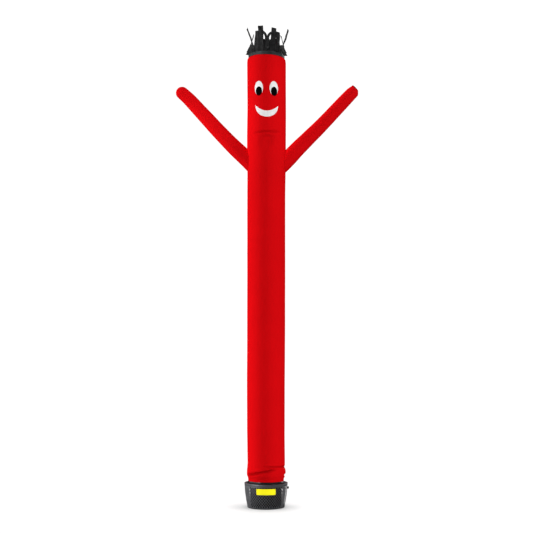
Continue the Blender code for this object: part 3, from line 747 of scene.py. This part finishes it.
def sheet_form(across, along, place):
    """A grid laid out by a function of its shares across and along, which gives the place, the place
    in the flat cloth in metres, and how much hems, seams and painted shade darken it there. Edges that meet
    are merged."""
    form = grid(across, along)
    flat = form.loops.layers.uv.new("cloth")
    seams_and_shade = form.verts.layers.float.new("seams_and_shade")
    laid = {}
    for vertex in form.verts:
        share = (round((vertex.co.x + 0.5) * across) / across, round((vertex.co.y + 0.5) * along) / along)
        laid[vertex] = place(*share)
    for face in form.faces:
        for loop in face.loops:
            loop[flat].uv = laid[loop.vert][1]
    for vertex, (spot, _, seam) in laid.items():
        vertex.co = spot
        vertex[seams_and_shade] = seam
    bmesh.ops.remove_doubles(form, verts=form.verts, dist=MERGE)
    return form


def ripstop(name, colour, gloss, seam_and_shade_dark, contrast=0.10, roughness=0.50, uneven=0.025, clouds=3.2):
    """Coated nylon with a grid of thicker threads, from the piece's flat layout in metres. It is darker where
    hems, seams and painted shade are marked.
    """
    made, tree, shader = new_finish(name)
    flat = put(tree, "SeparateXYZ", {"Vector": put(tree, "UVMap", uv_map="cloth")}).node
    lines = []
    for side in ("X", "Y"):
        swing = put(tree, "Math", {0: flat.outputs[side], 1: THREAD_GRID / 2}, operation="PINGPONG")
        lines.append(put(tree, "MapRange", {
            "Value": swing, "From Min": THREAD_HALF[0], "From Max": THREAD_HALF[1],
            "To Min": 1.0, "To Max": 0.0}, interpolation_type="SMOOTHSTEP"))
    thread = put(tree, "Math", {0: lines[0], 1: lines[1]}, operation="MAXIMUM")
    cloudy = speckle(tree, clouds, 1.0, 0.6)
    tone = spread(tree, cloudy, 1.0 - uneven, 1.0 + uneven)
    seams_and_shade = put(tree, "Attribute", give="Fac", attribute_name="seams_and_shade")
    for marks, dark in ((thread, contrast), (seams_and_shade, seam_and_shade_dark)):
        left = put(tree, "MapRange", {"Value": marks, "To Min": 1.0, "To Max": 1.0 - dark})
        tone = put(tree, "Math", {0: tone, 1: left}, operation="MULTIPLY")
    weave = bumped(tree, speckle(tree, 1500.0, 1.0), 0.10, 0.0001)
    fill(shader, {"Base Color": tinted(tree, tone, colour), "Specular IOR Level": gloss,
                  "Roughness": spread(tree, cloudy, roughness * 0.92, roughness * 1.08),
                  "Normal": bumped(tree, thread, 0.35, 0.00012, Normal=weave)})
    return made


body_heights = [BODY_FOOT]
for low, high, rings in BODY_STRETCHES:
    body_heights += [between(low, high, (ring + 1) / rings) for ring in range(rings)]
body_rings = len(body_heights) - 1


def body_layout(turn, rise):
    ring = body_heights[round(rise * body_rings)]
    angle = between(-180, 180, turn)
    hemmed = ring < HEM_TOP + MERGE or ring > BODY_TOP - VENT_HEM or abs(angle) > 180 - BACK_SEAM
    # The third value darkens the cloth: painted shade in the creases, or the darker tone of hems and seams.
    return (body_place(angle, ring), (math.radians(angle) * BODY_FLAT_RADIUS, ring),
            max(painted_crease_shade(angle, ring), HEM_TONE * hemmed))


red_ripstop = ripstop("red_ripstop_cloth", (0.665, 0.003, 0.005), 0.0, 0.9)
body = sheet_form(BODY_COLUMNS, body_rings, body_layout)


# Arms
# Two tapered sleeves of the same ripstop, sewn round holes in the body. The left one is pleated shut
# at its tip. The right one is cut off open, with a narrow hem, and its top edge droops a little.
ARM_LEFT = (
    # across, height, diameter
    (-0.150, 4.257, 0.206), (-0.239, 4.348, 0.205), (-0.377, 4.479, 0.201), (-0.505, 4.609, 0.193),
    (-0.631, 4.742, 0.188), (-0.755, 4.878, 0.181), (-0.879, 5.014, 0.175), (-0.990, 5.133, 0.168),
    (-1.072, 5.209, 0.160),
)
ARM_RIGHT = (
    (0.150, 4.230, 0.206), (0.254, 4.329, 0.204), (0.402, 4.487, 0.198), (0.529, 4.614, 0.187),
    (0.657, 4.741, 0.180), (0.783, 4.872, 0.173), (0.906, 5.004, 0.169), (1.030, 5.137, 0.164),
    (1.103, 5.214, 0.158), (1.193, 5.309, 0.144),
)
ARM_RIGHT_CUTS = (
    # a place on each cut of the open end, and which way the cut faces
    ((1.135, 0.0, 5.267), (0.75, 0.0, 0.66)),
    ((1.174, 0.0, 5.200), (1.00, 0.0, 0.05)),
)
ARM_COLUMNS = 72
ARM_RINGS = 110
ARM_FLAT_RADIUS = 0.09      # of the sleeve that the flat cloth would make
ARM_STEP = 0.02             # over how much of its length on each side an arm's way on is measured
RINGS_TO_ENDS = 0.8         # how much closer the rings lie at both ends
ROOT_SEARCH = 0.42          # the root lies before this length along the arm
ROOT_SEAM = 0.010
ROOT_SEAM_SHADE = 0.32
END_SEARCH = 0.9            # and the right sleeve's end after this one,
END_PAST = 0.05             # at most so far past its last row
END_HEM = 0.010
END_CALM = 0.03
END_TUCK = 0.013            # how far the right sleeve's top droops into its open end
END_TUCK_LENGTH = 0.085
ARM_LIFT = 0.0003
HOLE_INSET = 0.0055
HOLE_HEIGHTS = (4.0, 5.0)   # both holes lie between these
HALVINGS = 26               # of the length in which a root or an end is looked for
CLOTH_WALL = 0.0010
BODY_NODES = ("body_tube", "shoulder_panel", "head_panel")
PUCKERS = 13
PUCKER_DEPTH = 0.0022
PUCKER_LENGTH = 0.13
PUCKER_CALM = 0.02          # how far from the seam they are at their full depth
SLACK = 0.0012              # the sleeves' unevenness further on
SLACK_CALM = 0.05
SLACK_ROUND = 1.5
SLACK_ALONG = 7
LEFT_SEED = 3.0             # so that the two sleeves' wrinkles differ
RIGHT_SEED = 11.0
TIP_PLEATS = 15
TIP_PLEAT_IN = 0.13         # share of the tip's radius that the pleats take in
TIP_PLEAT_DOWN = 0.05       # and of its length
TIP_POINT = 0.035           # share of its radius that is left at the very tip
ARM_FLAT_EXTRA = {"arm_left": 0.09, "arm_right": -0.10}     # flat length beyond its last row


def arm_rows(rows):
    """The rows with how far along the arm each lies in front."""
    made, along = [], 0.0
    for index, (across, height, diameter) in enumerate(rows):
        if index:
            along += math.hypot(across - rows[index - 1][0], height - rows[index - 1][1])
        made.append((along, across, height, diameter))
    return made


def arm_middle(rows, along):
    return Vector((eased_row(rows, along, 1), 0.0, eased_row(rows, along, 2)))


def arm_frame(rows, along):
    """The middle, the way on and the radius of an arm at a length along it."""
    first, last = rows[0][0], rows[-1][0]
    past = max(0.0, along - last) - max(0.0, first - along)
    low, high = max(first, along - ARM_STEP), min(last, along + ARM_STEP)
    if high <= low:
        low, high = last - ARM_STEP, last
    way = (arm_middle(rows, high) - arm_middle(rows, low)).normalized()
    return arm_middle(rows, along) + way * past, way, eased_row(rows, along, 3) / 2


def arm_place(rows, turn, along, lift=0.0):
    """A place on an arm's outer face. The turn starts at the top of the arm and runs round the front."""
    middle, way, radius = arm_frame(rows, along)
    up = Vector((0, -1, 0)).cross(way)
    if up.z < 0:
        up.negate()
    return middle + (up * math.cos(turn) + Vector((0, -1, 0)) * math.sin(turn)) * (radius + lift)


def body_reach(place):
    """How far outside the body's face a place lies."""
    return math.hypot(place.x - body_drift(place.z), place.y) - body_radius(place.z)


def crossing(test, low, high):
    """Where a test that is negative at low turns positive, by halving."""
    for _ in range(HALVINGS):
        middle = (low + high) / 2
        if test(middle) < 0:
            low = middle
        else:
            high = middle
    return (low + high) / 2


left_rows, right_rows = arm_rows(ARM_LEFT), arm_rows(ARM_RIGHT)
tip_start, tip_radius = left_rows[-1][0], left_rows[-1][3] / 2
right_cuts = [(Vector(place), Vector(way).normalized()) for place, way in ARM_RIGHT_CUTS]


def arm_root(rows, turn):
    return crossing(lambda along: body_reach(arm_place(rows, turn, along)) - ARM_LIFT, 0.0, ROOT_SEARCH)


def right_end(turn):
    def past_cuts(along):
        return max((arm_place(right_rows, turn, along) - place).dot(way) for place, way in right_cuts)
    return crossing(past_cuts, END_SEARCH, right_rows[-1][0] + END_PAST)


arm_turns = [2 * math.pi * column / ARM_COLUMNS for column in range(ARM_COLUMNS + 1)]
left_roots = [arm_root(left_rows, turn) for turn in arm_turns]
right_roots = [arm_root(right_rows, turn) for turn in arm_turns]
right_ends = [right_end(turn) for turn in arm_turns]


def arm_wrinkle(turn, past_root, along, seed):
    """The sleeve's unevenness: soft puckers at its seam with the body, and slight ones further on."""
    near = max(0.0, 1.0 - past_root / PUCKER_LENGTH) * ease(past_root / PUCKER_CALM)
    pucker = PUCKER_DEPTH * near * math.sin(turn * PUCKERS + 2 * math.sin(turn * 3 + seed))
    slack = noise.noise(
        Vector((math.cos(turn) * SLACK_ROUND, math.sin(turn) * SLACK_ROUND, along * SLACK_ALONG + seed)))
    return pucker + SLACK * ease(past_root / SLACK_CALM) * slack


def to_ends(share):
    return share - RINGS_TO_ENDS * math.sin(2 * math.pi * share) / (2 * math.pi)


# The seam at a sleeve's root, darkened with painted shade where the sleeve meets the body.
def root_seam_shade(past_root):
    return ROOT_SEAM_SHADE * (1.0 - ease(past_root / ROOT_SEAM))


def left_layout(around, share):
    column = round(around * ARM_COLUMNS)
    turn, root = arm_turns[column], left_roots[column]
    along = between(root, tip_start + tip_radius * math.pi / 2, to_ends(share))
    flat = (turn * ARM_FLAT_RADIUS, along)
    past = (along - tip_start) / tip_radius
    lift = arm_wrinkle(turn, along - root, along, LEFT_SEED)
    if past <= 0:
        return arm_place(left_rows, turn, along, lift), flat, root_seam_shade(along - root)
    middle, way, _ = arm_frame(left_rows, tip_start)
    rim = arm_place(left_rows, turn, tip_start) - middle
    bent = min(past, math.pi / 2)
    pleat = math.sin(bent) * (0.5 + 0.5 * math.cos(TIP_PLEATS * turn + 0.9 * math.sin(2 * turn)))
    reach = max(math.cos(bent) * (1.0 - TIP_PLEAT_IN * pleat), TIP_POINT)
    spot = middle + rim * reach + way * tip_radius * math.sin(bent) * (1.0 - TIP_PLEAT_DOWN * pleat)
    return spot + rim.normalized() * lift * math.cos(bent), flat, 0.0


def right_layout(around, share):
    column = round(around * ARM_COLUMNS)
    turn, root, end = arm_turns[column], right_roots[column], right_ends[column]
    along = between(root, end, to_ends(share))
    left = end - along
    lift = arm_wrinkle(turn, along - root, along, RIGHT_SEED) * ease(left / END_CALM)
    lift -= END_TUCK * max(0.0, math.cos(turn)) ** 2 * ease(1.0 - left / END_TUCK_LENGTH)
    # The open end is darker along its top: the hem, with painted shade inside the opening.
    hem = ease(math.cos(turn) + 0.8) * (1.0 - ease((left - END_HEM / 2) / END_HEM))
    return (arm_place(right_rows, turn, along, lift), (turn * ARM_FLAT_RADIUS, along),
            max(hem, root_seam_shade(along - root)))


for arm_name, layout, rows in (("arm_left", left_layout, left_rows), ("arm_right", right_layout, right_rows)):
    sleeve = sheet_form(ARM_COLUMNS, ARM_RINGS, layout)
    start = Vector((rows[2][1], 0.0, rows[2][2]))
    outward(sleeve, start, (Vector((rows[-1][1], 0.0, rows[-1][2])) - start).normalized())
    made = walled(piece(arm_name + "_sleeve", sleeve, red_ripstop, arm_name), CLOTH_WALL)
    length = rows[-1][0] + ARM_FLAT_EXTRA[arm_name]


def off_bore(rows, spot):
    """The place on the middle line of an arm's hole that is nearest to a spot, and the way from there."""
    middle, way, _ = arm_frame(rows, rows[1][0])
    nearest = middle + way * (spot - middle).dot(way)
    return nearest, spot - nearest


for rows in (left_rows, right_rows):
    side = 1 if rows[1][1] > 0 else -1
    radius = rows[1][3] / 2 - HOLE_INSET
    hole = []
    for face in body.faces:
        middle = face.calc_center_median()
        if middle.x * side > 0 and off_bore(rows, middle)[1].length < radius:
            hole.append(face)
    bmesh.ops.delete(body, geom=hole, context="FACES")
    rim = {vertex for edge in body.edges if edge.is_boundary for vertex in edge.verts
           if HOLE_HEIGHTS[0] < vertex.co.z < HOLE_HEIGHTS[1] and vertex.co.x * side > 0}
    for vertex in rim:
        nearest, off = off_bore(rows, vertex.co)
        spot = nearest + off.normalized() * radius
        angle = math.degrees(math.atan2(spot.x - body_drift(spot.z), -spot.y))
        vertex.co = body_place(angle, spot.z)
outward(body)
body_cloth = walled(piece("body_tube_cloth", body, red_ripstop, BODY_NODES), CLOTH_WALL)


# Stitching
# Rows of red lockstitch: along the hems of the foot, the vent and the right sleeve, along the seams
# across the body, in two rows down its back, and round the root of each sleeve.
STITCH_PITCH = 0.0065
STITCHES_AT_ONCE = 40       # so many are made, then merged with the rest
STITCH_HALF = (0.0021, 0.0005, 0.0004)  # half of its length, width and height
BACK_ROW = 1.2              # degrees from the middle of the back
ROW_INSET = 0.004           # how far a row lies from a seam or from a hem's edge
ARM_ROW_EASE = 1.1          # an arm's rows follow an oval, longer than its girth
THREAD_LIFT = STITCH_HALF[2] / 2
thread = bmesh.new()


def sew(length, path):
    """Stitches along a path, which gives the place and the way off the cloth at a share of it."""
    stitches = round(length / STITCH_PITCH)
    row = bmesh.new()
    for number in range(stitches):
        spot, out = path((number + 0.5) / stitches)
        way = (path((number + 0.6) / stitches)[0] - spot).normalized()
        across = out.cross(way).normalized()
        sized = [part * half for part, half in zip((way, across, way.cross(across)), STITCH_HALF)]
        laid = Matrix(sized).transposed().to_4x4()
        laid.translation = spot
        bmesh.ops.create_uvsphere(row, u_segments=4, v_segments=2, radius=1.0, matrix=laid)
        if number % STITCHES_AT_ONCE == 0:
            add_form(thread, row)
            row = bmesh.new()
    add_form(thread, row)


def sew_round_body(ring):
    sew(2 * math.pi * body_radius(ring),
        lambda share: (body_place(360 * share - 180, ring, THREAD_LIFT), facing(360 * share - 180)))


def sew_down_back(angle):
    sew(BODY_TOP - BODY_FOOT - ROW_INSET, lambda share: (
        body_place(angle, between(BODY_FOOT + ROW_INSET / 2, BODY_TOP - ROW_INSET / 2, share), THREAD_LIFT),
        facing(angle)))


def sew_round_arm(rows, columns, inset):
    def path(share):
        turn = 2 * math.pi * share
        along = columns[math.floor(share * ARM_COLUMNS)] + inset
        nearest = columns[math.ceil(share * ARM_COLUMNS) % ARM_COLUMNS] + inset
        along = between(along, nearest, share * ARM_COLUMNS % 1.0)
        spot = arm_place(rows, turn, along, THREAD_LIFT)
        return spot, spot - arm_place(rows, turn + math.pi, along)
    sew(math.pi * rows[1][3] * ARM_ROW_EASE, path)


for ring in (HEM_TOP - ROW_INSET, *PANEL_SEAMS, BODY_TOP - VENT_HEM + ROW_INSET):
    sew_round_body(ring)
for side in (-BACK_ROW, BACK_ROW):
    sew_down_back(180 + side)
sew_round_arm(left_rows, left_roots, ROW_INSET)
sew_round_arm(right_rows, right_roots, ROW_INSET)
sew_round_arm(right_rows, right_ends, -END_HEM)
stitching = piece("body_stitching", thread, red_ripstop)


# Hair
# A collar band of black ripstop sewn inside the vent, with twenty-one strips cut from the same cloth
# and hemmed at their free ends, that fly up in the air that leaves the head.
COLLAR_RADIUS = 0.2315
COLLAR_HEIGHT = 0.042
COLLAR_GRID = (120, 5)
COLLAR_LIFT = 0.0003
COLLAR_INSET = 0.0006
RUFFLE = 0.0010
RUFFLES = 20
STRIP_ROOT = 0.026
STRIP_INSET = 0.0032
STRIP_END_HEM = 0.020
STRIP_APART = 0.1           # between two strips in the flat layout
STRIPS = (
    # angle, length, width, lean out, curl out, curl from, curl to, lean aside, bend aside, twist
    (-18, 0.344, 0.069, -1, 3, 0.30, 1.00, -1, 0, 0), (18, 0.328, 0.066, 0, -4, 0.30, 1.00, 6, 0, 0),
    (-36, 0.290, 0.064, -4, 3, 0.30, 1.00, 3, 0, 4), (41, 0.286, 0.064, -4, 4, 0.30, 1.00, 1, 0, -4),
    (-3, 0.286, 0.032, -1, 4, 0.30, 1.00, 3, -55, 0), (7, 0.276, 0.032, -3, 4, 0.30, 1.00, -4, 56, 0),
    (4, 0.120, 0.034, 4, 150, 0.42, 0.80, 0, 0, 0), (-50, 0.268, 0.056, -5, 155, 0.36, 0.54, 4, 0, -22),
    (50, 0.276, 0.056, -5, 153, 0.36, 0.54, -4, 0, 22), (-80, 0.285, 0.060, -11, -3, 0.10, 0.50, 0, 0, 4),
    (80, 0.285, 0.060, -4, -11, 0.40, 0.75, 0, 0, -4), (-104, 0.410, 0.062, -24, 43, 0.36, 0.46, 0, 0, 27),
    (104, 0.405, 0.062, -6, 23, 0.34, 0.44, 0, 0, -27), (-138, 0.300, 0.064, -16, 0, 0.30, 0.90, 2, 0, 0),
    (138, 0.292, 0.064, -16, 0, 0.30, 0.90, -2, 0, 0), (-155, 0.330, 0.066, -2, -4, 0.30, 0.90, -1, 0, 0),
    (155, 0.322, 0.066, -2, -4, 0.30, 0.90, 1, 0, 0), (-172, 0.312, 0.064, 2, -4, 0.30, 0.90, -1, 0, 0),
    (172, 0.306, 0.064, 2, -4, 0.30, 0.90, 1, 0, 0), (-59, 0.190, 0.056, -14, 166, 0.30, 0.52, 0, 0, -20),
    (59, 0.194, 0.056, -14, 166, 0.30, 0.52, 0, 0, 20),
)
LEAN_BY = 0.2               # share of a strip's length by which it has all of its lean out,
ASIDE_BY = 1 / 3            # of its lean aside
TWIST_BY = 0.625            # and of its twist
BEND_FROM = 0.60
STRIP_COLUMNS = 10
STRIP_STEPS = 48
STRIP_SIDE_HEM = 0.007
STRIP_FLUTTER = 0.0085
FLUTTER_ACROSS = 1.6
FLUTTER_UP = 16
FLUTTER_APART = 7.3         # between two strips in the noise
FLUTTER_BY = 0.5
STRIP_HOLLOW = 0.0045       # how much a strip is dished across
HOLLOW_BY = 0.4
HAIR_WALL = 0.0010

head_drift = BODY_SECTIONS[-1][2]


def slanted(place):
    share = ease((place.z - VENT_SLANT_FROM) / (BODY_TOP - VENT_SLANT_FROM))
    return Vector((place.x, place.y, place.z + VENT_SLANT * place.x * share))


def collar_layout(turn, rise):
    angle = between(-180, 180, turn)
    height = BODY_TOP + COLLAR_LIFT + COLLAR_HEIGHT * rise
    ruffle = RUFFLE * ease(rise) * math.sin(math.radians(angle) * RUFFLES)
    spot = facing(angle) * (COLLAR_RADIUS - COLLAR_INSET + ruffle) + Vector((head_drift, 0.0, height))
    return slanted(spot), (math.radians(angle) * COLLAR_RADIUS, height), 0.0


def strip_line(angle, length, lean, curl, curl_from, curl_to, aside, bend, twist):
    """Places up a strip's middle, each with the ways across the strip and off its face."""
    out, round_ring = facing(angle), facing(angle + 90)
    place = Vector((head_drift, 0.0, BODY_TOP + COLLAR_LIFT + STRIP_ROOT))
    place += out * (COLLAR_RADIUS - STRIP_INSET)
    line = []
    for step in range(STRIP_STEPS + 1):
        share = step / STRIP_STEPS
        curled = ease((share - curl_from) / (curl_to - curl_from))
        bent = ease((share - BEND_FROM) / (1 - BEND_FROM))
        pitch = math.radians(lean * ease(share / LEAN_BY) + curl * curled)
        sway = math.radians(aside * ease(share / ASIDE_BY) + bend * bent)
        way = UP * math.cos(pitch) + out * math.sin(pitch)
        way = way * math.cos(sway) + round_ring * math.sin(sway)
        side = (round_ring - way * round_ring.dot(way)).normalized()
        spin = math.radians(twist) * ease(share / TWIST_BY)
        across = side * math.cos(spin) + way.cross(side) * math.sin(spin)
        if step:
            place = place + way * length / STRIP_STEPS
        line.append((place.copy(), across, across.cross(way)))
    return line


# The collar gets a lighter copy of the strips' black ripstop: painted light on the collar.
collar_painted_lighter = ripstop("black_collar_painted_lighter", (0.030, 0.037, 0.039), 0.30, 0.5, 0.25, 0.42, 0.35, 16.0)
collar_form = sheet_form(*COLLAR_GRID, collar_layout)
outward(collar_form)
collar = walled(piece("hair_collar", collar_form, collar_painted_lighter), HAIR_WALL, 0.0)

hair = bmesh.new()
hair.loops.layers.uv.new("cloth")
hair.verts.layers.float.new("seams_and_shade")
for number, (angle, length, width, *ways) in enumerate(STRIPS):
    line = strip_line(angle, length, *ways)

    def strip_layout(aside_share, rise):
        place, across, face = line[round(rise * STRIP_STEPS)]
        half = aside_share - 0.5
        dish = STRIP_HOLLOW * (1.0 - 4.0 * half * half) * ease(rise / HOLLOW_BY)
        dish *= 1.0 if number % 2 else -1.0
        flutter = STRIP_FLUTTER * ease(rise / FLUTTER_BY) * noise.noise(
            Vector((half * FLUTTER_ACROSS + rise, rise * length * FLUTTER_UP, number * FLUTTER_APART)))
        # Hemmed edges and ends are darker: the hem, with painted shade on the strips' ends.
        edge = min((0.5 - abs(half)) * width, (1.0 - rise) * length * STRIP_SIDE_HEM / STRIP_END_HEM)
        hem = 1.0 - ease(edge / STRIP_SIDE_HEM)
        spot = place + across * width * half + face * (dish + flutter)
        return slanted(spot), (width * half + number * STRIP_APART, rise * length), hem

    add_form(hair, sheet_form(STRIP_COLUMNS, STRIP_STEPS, strip_layout))
# The strips' copy of the same cloth is darker than the collar's: painted shade among the strips.
black_ripstop = ripstop("black_ripstop_cloth", (0.0165, 0.0165, 0.017), 0.20, 0.85, 0.25, 0.44, 0.40, 20.0)
bmesh.ops.recalc_face_normals(hair, faces=hair.faces)
hair_cloth = walled(piece("hair_cloth", hair, black_ripstop, "hair_fringe"), HAIR_WALL, 0.0)


# Face
# Eyes, pupils and a mouth cut from white and black cloth and sewn flat on the front of the head, with
# a close zigzag of matching thread over every edge.
EYE_HALF = (0.057, 0.092)
EYE_PLACES = {"left": (-0.103, 5.215), "right": (0.094, 5.210)}
PUPIL_HALF = (0.043, 0.0585)
PUPIL_DROP = 0.0380
PUPIL_ASIDE = 0.002
MOUTH_HALF = 0.151
MOUTH_TIP_HEIGHT = 4.998
MOUTH_UPPER_SAG = 0.075
MOUTH_LOWER_SAG = 0.152
MOUTH_TILT = -0.005         # how much higher its right corner is than its middle
PATCH_LIFT = 0.0009
PATCH_WALL = 0.0006
PATCH_GRID = (64, 32)
PATCH_BORDER = 0.0006       # how high the sewn border stands
EDGE_WIDTH = 0.0036


def on_tube(across, height, lift):
    """A place on the tube's front, an arc length from its middle and a lift off its face."""
    return body_place(math.degrees(across / body_radius(height)), height, lift)


def plain_cloth(name, colour):
    """Plain woven cloth with a faint weave."""
    made, tree, shader = new_finish(name)
    flat = put(tree, "UVMap", uv_map="cloth")
    weft, warp = (put(tree, "TexWave", {"Vector": flat, "Scale": 900.0}, "Fac", bands_direction=bands)
                  for bands in ("X", "Y"))
    weave = put(tree, "Math", {0: weft, 1: warp}, operation="MAXIMUM")
    tone = spread(tree, speckle(tree, 18.0, 4.0), 0.975, 1.02)
    fill(shader, {"Base Color": tinted(tree, tone, colour), "Roughness": 0.75, "Specular IOR Level": 0.02,
                  "Normal": bumped(tree, weave, 0.15, 0.0001)})
    return made


def oval_span(across):
    """The lower and the upper edge of an oval at a place across, all in halves of its size."""
    half = math.sqrt(max(0.0, 1.0 - across * across))
    return -half, half


def mouth_span(across):
    """The lower and the upper edge of the smile, in metres from its corners."""
    tilt, (low, _) = MOUTH_TILT * across, oval_span(across)
    return tilt + MOUTH_LOWER_SAG * low, tilt - MOUTH_UPPER_SAG * (1.0 - across * across)


def patch(name, place, size, span, lift, finish, node):
    """A cloth patch between its lower and upper edges, with its sewn border, laid on the tube."""
    columns, rows = PATCH_GRID

    def spot(across, share):
        low, high = span(across)
        return place[0] + across * size[0], place[1] + between(low, high, share) * size[1]

    outline = [spot(-math.cos(math.pi * column / columns), share)
               for column in range(columns + 1) for share in (0, 1)]

    def patch_layout(around, rise):
        across, height = spot(-math.cos(math.pi * around), 0.5 - 0.5 * math.cos(math.pi * rise))
        inside = min(math.hypot(across - x, height - y) for x, y in outline)
        border = PATCH_BORDER * math.sin(math.pi * min(1.0, inside / EDGE_WIDTH))
        return on_tube(across, height, lift + border), (across, height), 0.0

    form = sheet_form(columns, rows, patch_layout)
    outward(form)
    return walled(piece(name, form, finish, node), PATCH_WALL)


white_cloth = plain_cloth("white_patch_cloth", (0.86, 0.86, 0.86))
black_cloth = plain_cloth("black_patch_cloth", (0.002, 0.002, 0.002))
for side, (across, height) in EYE_PLACES.items():
    patch("eye_%s_patch" % side, (across, height), EYE_HALF, oval_span, PATCH_LIFT,
                         white_cloth, "eye_" + side)
    patch("pupil_%s_patch" % side, (across + PUPIL_ASIDE, height - PUPIL_DROP), PUPIL_HALF,
                         oval_span, 2 * PATCH_LIFT, black_cloth, "pupil_" + side)
patch("mouth_patch", (0.0, MOUTH_TIP_HEIGHT), (MOUTH_HALF, 1.0), mouth_span, PATCH_LIFT,
                     white_cloth, "mouth")
